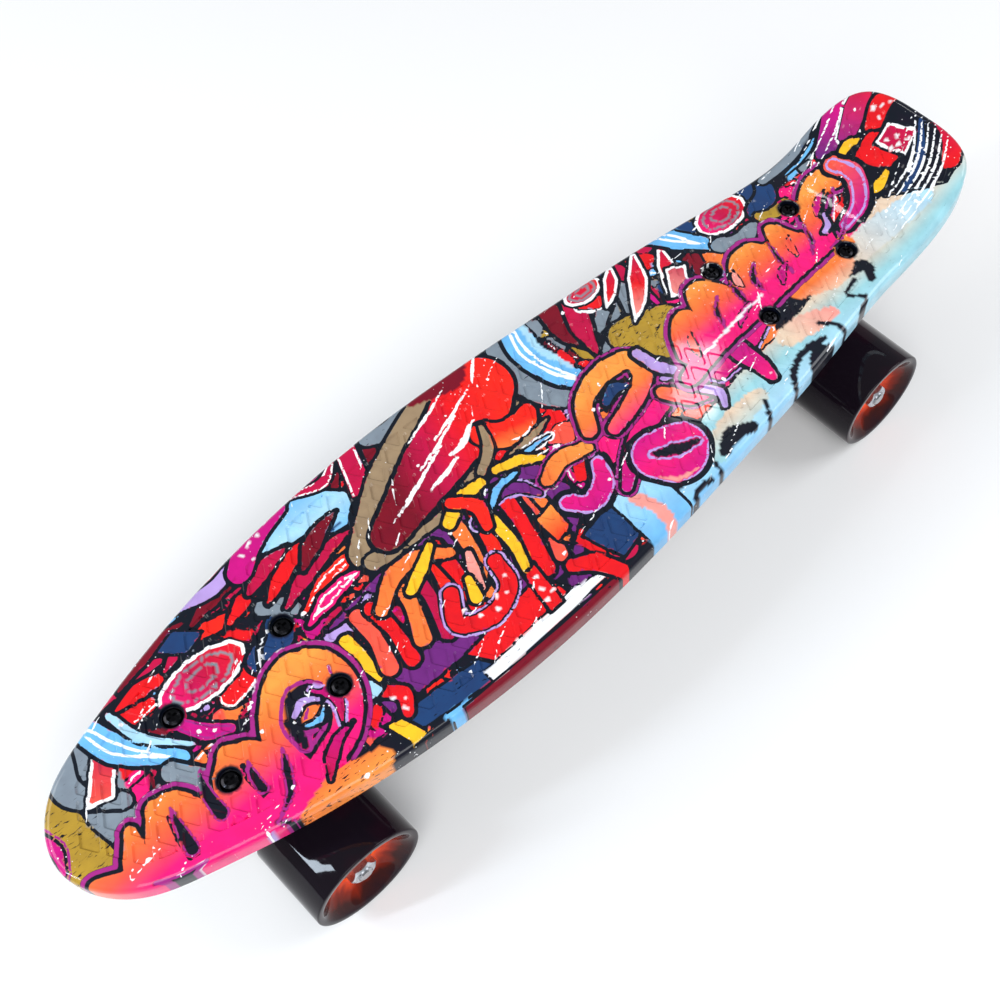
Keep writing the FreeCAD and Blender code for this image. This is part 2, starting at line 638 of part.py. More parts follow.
def build_shields(start):
    low = start + SHIELD_INSET
    high = start + BEARING_WIDTH - SHIELD_INSET - SHIELD_THICKNESS
    inner = BALL_PITCH_RADIUS - RACE_GAP_HALF + SHIELD_GAP
    outer = BALL_PITCH_RADIUS + RACE_GAP_HALF + SHIELD_SEAT
    return Part.makeCompound(
        [ring_piece(at, at + SHIELD_THICKNESS, inner, outer) for at in (low, high)])


def ball_centres(start):
    centres = []
    for index in range(BALL_COUNT):
        angle = 2 * math.pi * (index + 0.5) / BALL_COUNT
        centres.append(vec(AXLE_X + BALL_PITCH_RADIUS * math.cos(angle), start + BEARING_WIDTH / 2,
                           AXLE_Z + BALL_PITCH_RADIUS * math.sin(angle)))
    return centres


def build_balls(start):
    return Part.makeCompound(
        [Part.makeSphere(BALL_DIAMETER / 2, centre) for centre in ball_centres(start)])


def build_cage(start):
    low = start + (BEARING_WIDTH - CAGE_WIDTH) / 2
    cage = ring_piece(low, low + CAGE_WIDTH, BALL_PITCH_RADIUS - CAGE_THICKNESS / 2,
                      BALL_PITCH_RADIUS + CAGE_THICKNESS / 2)
    pockets = []
    for centre in ball_centres(start):
        outwards = (centre - vec(AXLE_X, centre.y, AXLE_Z)).normalize()
        pockets.append(rod(centre, outwards, BALL_DIAMETER / 2 + CAGE_POCKET_GAP,
                           -BALL_DIAMETER, BALL_DIAMETER))
    return cage.cut(pockets)


def build_spacer():
    return ring_piece(SPACER_Y, OUTER_BEARING_Y, BEARING_BORE / 2 + BEARING_FIT, SPACER_RADIUS)


# ---------------------------------------------------------------- all pieces

save("deck", build_deck())

FIXED_PIECES = {
    "riser_pad": build_riser(),
    "deck_bolts": build_deck_bolts(),
    "deck_nuts": build_deck_nuts(),
    "baseplate": build_baseplate(),
    "pivot_cup": build_pivot_cup(),
    "kingpin": build_kingpin(),
    "kingpin_nut": build_kingpin_nut(),
    "board_side_bushing": build_bushing(BOARD_BUSHING_START, BOARD_BUSHING_HEIGHT),
    "road_side_bushing": build_bushing(ROAD_BUSHING_START, ROAD_BUSHING_HEIGHT),
    "board_side_washer": build_cup_washer(0, 1),
    "road_side_washer": build_cup_washer(ROAD_WASHER_START, -1),
    "hanger": build_hanger(),
    "axle": build_axle(),
    "axle_nuts": build_axle_nuts(),
    "axle_washers": build_axle_washers(),
}

WHEEL_PIECES = {
    "wheel": build_wheel(),
    "bearing_outer_races": bearing_pair(build_outer_race),
    "bearing_shields": bearing_pair(build_shields),
    "bearing_inner_races": bearing_pair(build_inner_race),
    "bearing_spacer": build_spacer(),
    "bearing_cages": bearing_pair(build_cage),
    "bearing_balls": bearing_pair(build_balls),
}

for end, rear in (("front", False), ("rear", True)):
    for name, shape in FIXED_PIECES.items():
        save(end + "_" + name, truck_to_board(shape, rear))
    for name, shape in WHEEL_PIECES.items():
        # Facing the nose, the left wheels are on -Y. The rear truck is turned round.
        near, far = other_end(shape), shape
        if rear:
            near, far = far, near
        save(end + "_left_" + name, truck_to_board(near, rear))
        save(end + "_right_" + name, truck_to_board(far, rear))
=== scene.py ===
"""Cruiser skateboard: its visible pieces, their finishes and the stage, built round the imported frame."""

import math

import bmesh
import bpy
import numpy as np
from mathutils import Matrix, Vector
from mathutils.geometry import delaunay_2d_cdt


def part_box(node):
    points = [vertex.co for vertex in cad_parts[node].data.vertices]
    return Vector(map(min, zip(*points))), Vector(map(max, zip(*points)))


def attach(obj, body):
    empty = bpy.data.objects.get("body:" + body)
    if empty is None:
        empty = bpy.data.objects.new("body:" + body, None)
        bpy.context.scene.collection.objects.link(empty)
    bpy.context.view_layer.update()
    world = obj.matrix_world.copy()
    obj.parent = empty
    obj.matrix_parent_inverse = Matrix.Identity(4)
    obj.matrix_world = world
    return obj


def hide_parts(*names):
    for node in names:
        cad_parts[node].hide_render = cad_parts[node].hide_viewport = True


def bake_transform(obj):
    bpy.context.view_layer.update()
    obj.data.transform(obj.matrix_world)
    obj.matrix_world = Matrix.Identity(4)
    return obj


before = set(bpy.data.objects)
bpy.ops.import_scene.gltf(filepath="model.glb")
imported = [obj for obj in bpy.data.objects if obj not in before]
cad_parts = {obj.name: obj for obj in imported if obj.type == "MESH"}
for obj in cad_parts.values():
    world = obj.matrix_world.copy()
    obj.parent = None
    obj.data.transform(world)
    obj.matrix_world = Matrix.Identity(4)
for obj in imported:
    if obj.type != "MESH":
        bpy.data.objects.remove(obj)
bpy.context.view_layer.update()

bl_info = {
    "name": "Cruiser Skateboard",
    "version": (1, 0, 0),
    "blender": (4, 5, 0),
    "location": "View3D > Sidebar > Skateboard",
    "description": "Builds the visible pieces of a small plastic cruiser board",
    "category": "Object",
}

# Sizes are in millimetres and are turned into metres as a mesh is made.
MM = 0.001
ENDS = ("front", "rear")
SIDES = ("left", "right")


def box_mm(node):
    """Lowest and highest corner of a frame node, in millimetres."""
    low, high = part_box(node)
    return np.array(low) / MM, np.array(high) / MM


DECK_LOW, DECK_HIGH = box_mm("deck")
HALF_LENGTH = DECK_HIGH[0]
HALF_WIDTH = DECK_HIGH[1]
DECK_DEPTH = 12.0
DECK_TOP_Z = DECK_LOW[2] + DECK_DEPTH
DECK_SKIN = 4.5
DECK_WALL = 5.0
RIM_RADIUS = 3.5
RIM_STEPS = 6
FOOT_CHAMFER = 0.4
KICK_START = HALF_LENGTH - 75.5
KICK_RADIUS = 75.0
KICK_ANGLE = math.radians(26.0)
OUTLINE_POINTS = 720
OUTLINE_RAYS = 960

BOLT_HEAD_DIAMETER = 9.2
RECESS_RADIUS = 5.5
RECESS_DEPTH = 3.0
RECESS_LEAD_IN = 0.3
RECESS_DRAFT = 0.05
BOLT_HOLE_RADIUS = 2.65
CIRCLE_POINTS = 28

RIB_THICKNESS = 2.6
RIB_PITCH_ALONG = 38.0
RIB_PITCH_ACROSS = 26.0
CELL_CORNER = 2.0
CELL_DRAFT = 0.35
CELL_STEP = 6.0
SMALLEST_CELL = 25.0
LEAST_CELL_INSIDE = 0.15

KINGPIN_LEAN = math.radians(20.0)
KINGPIN_SHIFT = 8.0
KINGPIN_DROP = 19.0
BUSHING_GAP = 0.06

THREAD_PITCH = 0.8
THREAD_RIDGE_SHARE = 0.42
AXLE_THREAD_RADIUS = 3.72
BOLT_THREAD_RADIUS = 2.42
AXLE_THREAD_START = 0.6
AXLE_THREAD_EXTRA = 0.1
BOLT_THREAD_CLEARANCE = 0.3


# ---------------------------------------------------------------- the deck's surface

def profile_z(x, depth):
    """Height of the layer at a depth below the deck's top: flat, then an arc, then the raised tail."""
    radius = KICK_RADIUS + depth
    centre_z = DECK_TOP_Z + KICK_RADIUS
    along = np.clip(x - KICK_START, 0, radius * math.sin(KICK_ANGLE))
    curved = centre_z - np.sqrt(radius ** 2 - along ** 2)
    beyond = np.maximum(x - KICK_START - radius * math.sin(KICK_ANGLE), 0)
    return curved + beyond * math.tan(KICK_ANGLE)


def frame_outline():
    """Outline of the frame's deck seen from above, as evenly spaced points round it, anticlockwise."""
    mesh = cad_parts["deck"].data
    places = np.empty(len(mesh.vertices) * 3)
    mesh.vertices.foreach_get("co", places)
    places = places.reshape(-1, 3)[:, :2] / MM / (HALF_LENGTH, HALF_WIDTH)
    pairs = np.empty(len(mesh.edges) * 2, int)
    mesh.edges.foreach_get("vertices", pairs)
    start, end = places[pairs[0::2]], places[pairs[1::2]]
    loop = []
    for ray in np.linspace(0, 2 * math.pi, OUTLINE_RAYS, endpoint=False):
        across = np.array((-math.sin(ray), math.cos(ray)))
        forward = np.array((math.cos(ray), math.sin(ray)))
        side_start, side_end = start @ across, end @ across
        crossing = (side_start <= 0) != (side_end <= 0)
        share = side_start[crossing] / (side_start[crossing] - side_end[crossing])
        reach = (start[crossing] + (end[crossing] - start[crossing]) * share[:, None]) @ forward
        loop.append(forward * reach.max() * (HALF_LENGTH, HALF_WIDTH))
    loop = np.array(loop)
    smoothings = 3
    for _ in range(smoothings):
        loop = (np.roll(loop, 1, axis=0) + 2 * loop + np.roll(loop, -1, axis=0)) / 4
    steps = np.linalg.norm(np.roll(loop, -1, axis=0) - loop, axis=1)
    travelled = np.concatenate(([0], np.cumsum(steps)))
    closed = np.vstack((loop, loop[:1]))
    stations = np.linspace(0, travelled[-1], OUTLINE_POINTS, endpoint=False)
    return np.column_stack([np.interp(stations, travelled, closed[:, axis]) for axis in (0, 1)])


def inward_normals(loop):
    tangent = np.roll(loop, -1, axis=0) - np.roll(loop, 1, axis=0)
    tangent /= np.linalg.norm(tangent, axis=1)[:, None]
    return np.column_stack((-tangent[:, 1], tangent[:, 0]))


def rim_leans(outline, inward):
    """How steeply the deck's top rises towards the outline at each of its points."""
    climb = np.arcsin(np.clip((outline[:, 0] - KICK_START) / KICK_RADIUS, 0, math.sin(KICK_ANGLE)))
    return np.arctan(np.tan(climb) * -inward[:, 0])


OUTLINE = frame_outline()
OUTLINE_INWARD = inward_normals(OUTLINE)
RIM_LEANS = rim_leans(OUTLINE, OUTLINE_INWARD)


def rim_ring(share):
    """Places and depths round the rim's rounding, from the top at a share of 0 to the wall at 1."""
    turn = share * (math.pi / 2 + RIM_LEANS)
    inset = RIM_RADIUS * (1 - np.sin(turn - RIM_LEANS))
    return OUTLINE + OUTLINE_INWARD * inset[:, None], RIM_RADIUS * (1 - np.cos(turn))


def rim_width(x):
    """How far the rim reaches inwards: further on the raised tail, where the edge is sharper."""
    return RIM_RADIUS * (1 + (x > KICK_START) * math.sin(KICK_ANGLE))


def from_outline(points):
    """How far each point lies inside the outline, and the outline's inward direction nearest to it."""
    depth = np.empty(len(points))
    inward = np.empty((len(points), 2))
    block = 4000
    for first in range(0, len(points), block):
        some = points[first:first + block]
        gap = some[:, None, :] - OUTLINE[None, :, :]
        nearest = np.einsum("ijk,ijk->ij", gap, gap).argmin(axis=1)
        inward[first:first + block] = OUTLINE_INWARD[nearest]
        offset = some - OUTLINE[nearest]
        depth[first:first + block] = np.einsum("ij,ij->i", offset, OUTLINE_INWARD[nearest])
    return depth, inward


def bolt_centres():
    """Places of the eight truck bolts, read from the frame."""
    centres = []
    for end in ENDS:
        low, high = box_mm(f"{end}_deck_bolts")
        middle = (low + high) / 2
        half = (high - low - BOLT_HEAD_DIAMETER) / 2
        for sign_x in (-1, 1):
            for sign_y in (-1, 1):
                centres.append((middle[0] + sign_x * half[0], middle[1] + sign_y * half[1]))
    return np.array(centres)


BOLTS = bolt_centres()


def ring_points(centre, radius, count=CIRCLE_POINTS):
    turns = np.linspace(0, 2 * math.pi, count, endpoint=False)
    return np.asarray(centre) + radius * np.column_stack((np.cos(turns), np.sin(turns)))


def loop_area(loop):
    ahead = np.roll(loop, -1, axis=0)
    return abs((loop[:, 0] * ahead[:, 1] - ahead[:, 0] * loop[:, 1]).sum()) / 2


def holds(loop, point):
    """Whether a closed loop goes round a point."""
    ahead = np.roll(loop, -1, axis=0)
    spans = (loop[:, 1] > point[1]) != (ahead[:, 1] > point[1])
    rise = np.where(spans, ahead[:, 1] - loop[:, 1], 1)
    crossing = loop[:, 0] + (point[1] - loop[:, 1]) / rise * (ahead[:, 0] - loop[:, 0])
    return (spans & (point[0] < crossing)).sum() % 2 == 1


def pushed_in(loop, border):
    """Loop whose points nearer to the outline than the border are moved in to it."""
    depth, inward = from_outline(loop)
    return loop + inward * np.maximum(border - depth, 0)[:, None]


def pushed_off(loop, centre, radius):
    """Loop whose points inside a disc are moved out to its edge."""
    offset = loop - centre
    distance = np.linalg.norm(offset, axis=1)
    return centre + offset * np.maximum(radius / np.maximum(distance, 1e-6), 1)[:, None]


class Panel:
    """Flat net of loops and loose points with a depth each, meshed by a Delaunay triangulation."""

    def __init__(self):
        self.points = []
        self.depths = []
        self.edges = []

    def add_points(self, points, depth):
        first = len(self.points)
        self.points.extend(map(tuple, points))
        self.depths.extend([depth] * len(points))
        return list(range(first, first + len(points)))

    def add_loop(self, points, depth):
        indices = self.add_points(points, depth)
        self.edges.extend(zip(indices, indices[1:] + indices[:1]))
        return indices

    def mesh(self, holes=()):
        """Places, depths, triangles, and where each given point went. Holes are (centre, radius)."""
        inside_constraints, merge_distance = 1, 1e-5
        places, _, faces, origins, _, _ = delaunay_2d_cdt(
            [Vector(point) for point in self.points], self.edges, [], inside_constraints, merge_distance)
        places = np.array([tuple(place) for place in places])
        depths = np.array([self.depths[origin[0]] if origin else 0.0 for origin in origins])
        where = {}
        for index, origin in enumerate(origins):
            for given in origin:
                where[given] = index
        triangles = np.array(faces)
        centres = places[triangles].mean(axis=1)
        keep = np.ones(len(triangles), bool)
        inside_share = 0.97
        for centre, radius in holes:
            keep &= np.linalg.norm(centres - centre, axis=1) > radius * inside_share
        return places, depths, triangles[keep], where


class Shell:
    """Points and faces of one closed piece, gathered part by part."""

    def __init__(self):
        self.points = []
        self.faces = []
        self.finishes = []

    def add_points(self, points):
        first = len(self.points)
        self.points.extend(map(tuple, points))
        return list(range(first, first + len(points)))

    def add_faces(self, faces, finish):
        self.faces.extend(faces)
        self.finishes.extend([finish] * len(faces))

    def add_strip(self, lower, upper, finish):
        """Quads between two closed loops of indices. They face right of the way the loops run, upwards."""
        count = len(lower)
        quads = []
        for index in range(count):
            after = (index + 1) % count
            quads.append((lower[index], lower[after], upper[after], upper[index]))
        self.add_faces(quads, finish)

    def build(self, name, finishes):
        mesh = bpy.data.meshes.new(name)
        mesh.from_pydata((np.array(self.points) * MM).tolist(), [], self.faces)
        for finish in finishes:
            mesh.materials.append(finish)
        mesh.polygons.foreach_set("material_index", self.finishes)
        mesh.polygons.foreach_set("use_smooth", [True] * len(self.faces))
        mesh.update()
        return mesh


# ---------------------------------------------------------------- the grip pattern on the top

def rounded_diamond(half_x, half_y, inset, corner, arc_steps, side_steps):
    """Closed loop round a diamond whose sides are moved in and whose corners are rounded."""
    slope = math.hypot(half_x, half_y)
    share = 1 - (inset + corner) * slope / (half_x * half_y)
    turn = math.atan2(half_x, half_y)
    corners = (
        ((share * half_x, 0), -turn, turn), ((0, share * half_y), turn, math.pi - turn),
        ((-share * half_x, 0), math.pi - turn, math.pi + turn),
        ((0, -share * half_y), math.pi + turn, 2 * math.pi - turn))
    loop = []
    for centre, start, end in corners:
        for angle in np.linspace(start, end, arc_steps):
            loop.append(np.array(centre) + corner * np.array((math.cos(angle), math.sin(angle))))
    full = []
    for index, point in enumerate(loop):
        full.append(point)
        if index % arc_steps == arc_steps - 1:
            after = loop[(index + 1) % len(loop)]
            full.extend(point + (after - point) * step / side_steps for step in range(1, side_steps))
    return np.array(full)


def diamond_distance(local, half_x, half_y, inset, corner):
    """Signed distance of points from the same rounded diamond, negative inside it."""
    slope = math.hypot(half_x, half_y)
    share = 1 - (inset + corner) * slope / (half_x * half_y)
    size = np.array((half_x, half_y)) * share
    point = np.abs(local)
    along = (size[0] * (size[0] - 2 * point[:, 0]) - size[1] * (size[1] - 2 * point[:, 1]))
    along = np.clip(along / (size @ size), -1, 1)
    foot = np.column_stack((0.5 * size[0] * (1 - along), 0.5 * size[1] * (1 + along)))
    side = point[:, 0] * size[1] + point[:, 1] * size[0] - size[0] * size[1]
    return np.linalg.norm(point - foot, axis=1) * np.sign(side) - corner


class Waffle:
    """Diamond pockets pressed into the deck's top, clipped along the border and round the bolts."""

    def __init__(self, settings):
        self.pitch = np.array((settings.pocket_pitch_along, settings.pocket_pitch_across)) / MM
        self.ridge = settings.ridge_width / MM
        self.depth = settings.pocket_depth / MM
        self.border = settings.border_width / MM
        self.bevel = settings.pocket_bevel / MM
        self.start = settings.pattern_shift / MM
        self.corner = 1.2
        self.inner_corner = 0.9
        self.boss = 7.6
        self.smallest = 7.0
        self.kept = set()

    def centre(self, row, column):
        """Middle of a pocket, counted along the two slanting directions of the ridges."""
        first, second = row + 0.5, column + 0.5
        return np.array((self.start + (first + second) / 2 * self.pitch[0],
                         (first - second) / 2 * self.pitch[1]))

    def rows_columns(self, points):
        along = (points[:, 0] - self.start) / self.pitch[0]
        across = points[:, 1] / self.pitch[1]
        return np.floor(along + across).astype(int), np.floor(along - across).astype(int)

    def clipped(self, loop, margin):
        loop = pushed_in(loop, self.border + margin)
        for bolt in BOLTS:
            loop = pushed_off(loop, bolt, self.boss + margin)
        return loop

    def add_pockets(self, panel):
        half = self.pitch / 2
        steps = {"arc_steps": 4, "side_steps": 5}
        outer = rounded_diamond(*half, self.ridge / 2, self.corner, **steps)
        inner = rounded_diamond(*half, self.ridge / 2 + self.bevel, self.inner_corner, **steps)
        reach_x = int(HALF_LENGTH / self.pitch[0]) + 2
        reach = reach_x + int(HALF_WIDTH / self.pitch[1]) + 2
        for row in range(-reach, reach):
            for column in range(-reach, reach):
                centre = self.centre(row, column)
                if abs(centre[0]) > HALF_LENGTH or abs(centre[1]) > HALF_WIDTH:
                    continue
                if from_outline(centre[None])[0][0] < self.border - half[0]:
                    continue
                if np.linalg.norm(BOLTS - centre, axis=1).min() < self.boss:
                    continue
                top = self.clipped(outer + centre, 0)
                floor = self.clipped(inner + centre, self.bevel)
                if loop_area(floor) < self.smallest or any(holds(outer + centre, bolt) for bolt in BOLTS):
                    continue
                panel.add_loop(top, 0)
                panel.add_loop(floor, self.depth)
                self.kept.add((row, column))

    def add_fill(self, panel, spacing):
        """Loose points on the ridges, the border and the pocket floors, so that the film has detail."""
        columns = np.arange(-HALF_LENGTH, HALF_LENGTH, spacing)
        rows = np.arange(-HALF_WIDTH, HALF_WIDTH, spacing * math.sqrt(3) / 2)
        grid_x, grid_y = np.meshgrid(columns, rows)
        grid_x[1::2] += spacing / 2
        points = np.column_stack((grid_x.ravel(), grid_y.ravel()))
        depth, _ = from_outline(points)
        clear = depth > rim_width(points[:, 0]) + spacing / 2
        points, depth = points[clear], depth[clear]
        row, column = self.rows_columns(points)
        centres = np.column_stack((self.start + (row + column + 1) / 2 * self.pitch[0],
                                   (row - column) / 2 * self.pitch[1]))
        kept = np.array([cell in self.kept for cell in zip(row.tolist(), column.tolist())])
        from_bolt = np.linalg.norm(points[:, None] - BOLTS[None], axis=2).min(axis=1)
        edge = diamond_distance(points - centres, *(self.pitch / 2), self.ridge / 2, self.corner)
        edge = np.maximum(edge, np.maximum(self.border - depth, self.boss - from_bolt))
        gap = 0.45 * spacing
        on_floor = kept & (edge < -self.bevel - gap)
        on_ridge = (~kept | (edge > gap)) & (from_bolt > RECESS_RADIUS + RECESS_LEAD_IN + gap)
        panel.add_points(points[on_floor], self.depth)
        panel.add_points(points[on_ridge & ~on_floor], 0)


def top_panel(settings, shell):
    """Top of the deck inside its rounded rim. Returns the rim's indices and the bolt holes' loops."""
    panel = Panel()
    rim = panel.add_loop(rim_ring(0)[0], 0)
    holes = []
    for bolt in BOLTS:
        panel.add_loop(ring_points(bolt, RECESS_RADIUS + RECESS_LEAD_IN), 0)
        panel.add_loop(ring_points(bolt, RECESS_RADIUS), RECESS_LEAD_IN)
        panel.add_loop(ring_points(bolt, RECESS_RADIUS - RECESS_DRAFT), RECESS_DEPTH)
        holes.append(panel.add_loop(ring_points(bolt, BOLT_HOLE_RADIUS), RECESS_DEPTH))
    waffle = Waffle(settings)
    waffle.add_pockets(panel)
    waffle.add_fill(panel, settings.film_detail / MM)
    places, depths, faces, where = panel.mesh([(bolt, BOLT_HOLE_RADIUS) for bolt in BOLTS])
    heights = profile_z(places[:, 0], depths)
    first = shell.add_points(np.column_stack((places, heights)))[0]
    shell.add_faces((faces + first).tolist(), 0)
    return ([first + where[index] for index in rim],
            [[first + where[index] for index in hole] for hole in holes])


# ---------------------------------------------------------------- the ribbed underside

def rounded_box(low, high, corner, step, corner_points=5):
    """Closed loop round a rectangle with rounded corners, with points along its sides."""
    loop = []
    middles = ((high[0] - corner, high[1] - corner), (low[0] + corner, high[1] - corner),
               (low[0] + corner, low[1] + corner), (high[0] - corner, low[1] + corner))
    for quarter, middle in enumerate(middles):
        for angle in np.linspace(quarter, quarter + 1, corner_points) * math.pi / 2:
            loop.append(np.array(middle) + corner * np.array((math.cos(angle), math.sin(angle))))
    full = []
    for index, point in enumerate(loop):
        after = loop[(index + 1) % len(loop)]
        count = max(1, math.ceil(np.linalg.norm(after - point) / step))
        full.extend(point + (after - point) * part / count for part in range(count))
    return np.array(full)


def without(span, block):
    """What is left of a span once a block is taken out of it."""
    left = (span[0], min(span[1], block[0]))
    right = (max(span[0], block[1]), span[1])
    return [part for part in (left, right) if part[1] - part[0] > 4 * CELL_CORNER]


def rib_cells(pads):
    """Rectangles between the ribs, cut back where the truck pads are."""
    cells = []
    half_rib = RIB_THICKNESS / 2
    columns = int(HALF_LENGTH / RIB_PITCH_ALONG) + 1
    rows = int(HALF_WIDTH / RIB_PITCH_ACROSS) + 1
    for column in range(-columns, columns):
        span_x = (column * RIB_PITCH_ALONG + half_rib, (column + 1) * RIB_PITCH_ALONG - half_rib)
        for row in range(-rows, rows):
            span_y = (row * RIB_PITCH_ACROSS + half_rib, (row + 1) * RIB_PITCH_ACROSS - half_rib)
            spans = [span_x]
            for low, high in pads:
                beside = span_x[1] > low[0] and span_x[0] < high[0]
                if beside and span_y[0] < high[1] < span_y[1] and high[1] - span_y[0] < half_rib:
                    span_y = (high[1], span_y[1])
                if beside and span_y[0] < low[1] < span_y[1] and span_y[1] - low[1] < half_rib:
                    span_y = (span_y[0], low[1])
                if span_y[1] > low[1] and span_y[0] < high[1]:
                    spans = [part for span in spans for part in without(span, (low[0], high[0]))]
            cells.extend(((x0, span_y[0]), (x1, span_y[1])) for x0, x1 in spans)
    return cells


def underside_panel(shell):
    """Ribs, cells and truck pads. Returns the foot's indices and the bolt holes' loops."""
    panel = Panel()
    foot = panel.add_loop(OUTLINE + OUTLINE_INWARD * FOOT_CHAMFER, DECK_DEPTH)
    holes = [panel.add_loop(ring_points(bolt, BOLT_HOLE_RADIUS), DECK_DEPTH) for bolt in BOLTS]
    pads = [tuple(corner[:2] for corner in box_mm(f"{end}_riser_pad")) for end in ENDS]
    for low, high in rib_cells(pads):
        mouth = rounded_box(low, high, CELL_CORNER, CELL_STEP)
        if (from_outline(mouth)[0] > DECK_WALL).mean() < LEAST_CELL_INSIDE:
            continue
        mouth = pushed_in(mouth, DECK_WALL)
        floor = rounded_box(np.add(low, CELL_DRAFT), np.subtract(high, CELL_DRAFT), CELL_CORNER,
                            CELL_STEP)
        floor = pushed_in(floor, DECK_WALL + CELL_DRAFT)
        if loop_area(floor) < SMALLEST_CELL:
            continue
        panel.add_loop(mouth, DECK_DEPTH)
        panel.add_loop(floor, DECK_SKIN)
    places, depths, faces, where = panel.mesh([(bolt, BOLT_HOLE_RADIUS) for bolt in BOLTS])
    heights = profile_z(places[:, 0], depths)
    first = shell.add_points(np.column_stack((places, heights)))[0]
    shell.add_faces((faces[:, ::-1] + first).tolist(), 1)
    return ([first + where[index] for index in foot],
            [[first + where[index] for index in hole] for hole in holes])


def deck_shell(settings):
    """Closed deck: top, rounded rim, side wall, underside and the walls of the bolt holes."""
    shell = Shell()
    rim, top_holes = top_panel(settings, shell)
    foot, low_holes = underside_panel(shell)
    above = rim
    for step in range(1, RIM_STEPS + 1):
        places, depth = rim_ring(step / RIM_STEPS)
        ring = shell.add_points(np.column_stack((places, profile_z(places[:, 0], depth))))
        shell.add_strip(ring, above, 0)
        above = ring
    for depth in (0.5 * (RIM_RADIUS + DECK_DEPTH), DECK_DEPTH - FOOT_CHAMFER):
        ring = shell.add_points(np.column_stack((OUTLINE, profile_z(OUTLINE[:, 0], depth))))
        shell.add_strip(ring, above, 0)
        above = ring
    shell.add_strip(foot, above, 1)
    for low, high in zip(low_holes, top_holes):
        shell.add_strip(high, low, 1)
    return shell


# ---------------------------------------------------------------- the film printed on the deck

INK = (0.003, 0.006, 0.013)
WHITE = (0.92, 0.94, 0.96)
VIOLET = (0.36, 0.02, 0.22)
LILAC = (0.48, 0.33, 0.72)
PURPLE = (0.16, 0.02, 0.20)
ORANGE = (0.95, 0.20, 0.04)
AMBER = (0.98, 0.34, 0.06)
CORAL = (0.93, 0.10, 0.06)
PINK = (0.90, 0.008, 0.19)
MAGENTA = (0.60, 0.004, 0.22)
RED = (0.82, 0.008, 0.012)
BRIGHT = (0.95, 0.02, 0.01)
CRIMSON = (0.55, 0.004, 0.06)
DARK_RED = (0.20, 0.003, 0.015)
SKY = (0.16, 0.50, 0.88)
PALE_SKY = (0.42, 0.72, 0.90)
DEEP_BLUE = (0.012, 0.05, 0.16)
GREY = (0.22, 0.27, 0.32)
OCHRE = (0.45, 0.28, 0.03)
YELLOW = (0.98, 0.55, 0.02)
TAN = (0.34, 0.24, 0.14)
CREAM = (0.80, 0.62, 0.46)
TEAL = (0.33, 0.64, 0.70)
ROSE = (0.95, 0.35, 0.30)

# How far lines are looked for round a shape, and what stands for no line near.
FAR = 50.0
BAND_REACH = 8.0
MASS_REACH = 16.0
CHALK_REACH = 6.0
LINE_LIMIT = 4.0


def smooth_path(points, widths, steps=7):
    """Catmull-Rom curve through a few points, with the width at each of its own points."""
    points = np.array(points, float)
    widths = np.broadcast_to(np.array(widths, float), (len(points),))
    if len(points) < 3:
        return points, widths.copy()
    padded = np.vstack((2 * points[0] - points[1], points, 2 * points[-1] - points[-2]))
    path, radii = [], []
    for index in range(1, len(points)):
        before, start, end, after = padded[index - 1:index + 3]
        for share in np.arange(steps) / steps:
            bend = (2 * start + (end - before) * share
                    + (2 * before - 5 * start + 4 * end - after) * share ** 2
                    + (3 * start - before - 3 * end + after) * share ** 3) / 2
            path.append(bend)
            radii.append(widths[index - 1] + (widths[index] - widths[index - 1]) * share)
    return np.vstack((path, points[-1:])), np.append(radii, widths[-1])


def path_distance(places, path, radii):
    """Signed distance of places from a band of changing half width about a path."""
    best = np.full(len(places), FAR)
    for start, end, wide, narrow in zip(path[:-1], path[1:], radii[:-1], radii[1:]):
        run = end - start
        share = np.clip((places - start) @ run / max(run @ run, 1e-9), 0, 1)
        gap = np.linalg.norm(places - start - share[:, None] * run, axis=1)
        best = np.minimum(best, gap - wide - (narrow - wide) * share)
    return best


def patch_distance(places, corners):
    """Signed distance of places from a straight-sided patch, negative inside it."""
    best = np.full(len(places), FAR)
    inside = np.zeros(len(places), bool)
    for start, end in zip(corners, np.roll(corners, -1, axis=0)):
        run = end - start
        share = np.clip((places - start) @ run / (run @ run), 0, 1)
        best = np.minimum(best, np.linalg.norm(places - start - share[:, None] * run, axis=1))
        spans = (start[1] > places[:, 1]) != (end[1] > places[:, 1])
        rise = run[1] if abs(run[1]) > 1e-9 else 1e-9
        inside ^= spans & (places[:, 0] < start[0] + (places[:, 1] - start[1]) / rise * run[0])
    return np.where(inside, -best, best)


def fade(start, end, *colours):
    """Fill that runs through colours from one place to another."""
    start, end = np.array(start, float), np.array(end, float)
    stops = np.linspace(0, 1, len(colours))
    parts = np.array(colours)

    def fill(places):
        share = np.clip((places - start) @ (end - start) / ((end - start) @ (end - start)), 0, 1)
        return np.column_stack([np.interp(share, stops, parts[:, channel]) for channel in range(3)])

    return fill


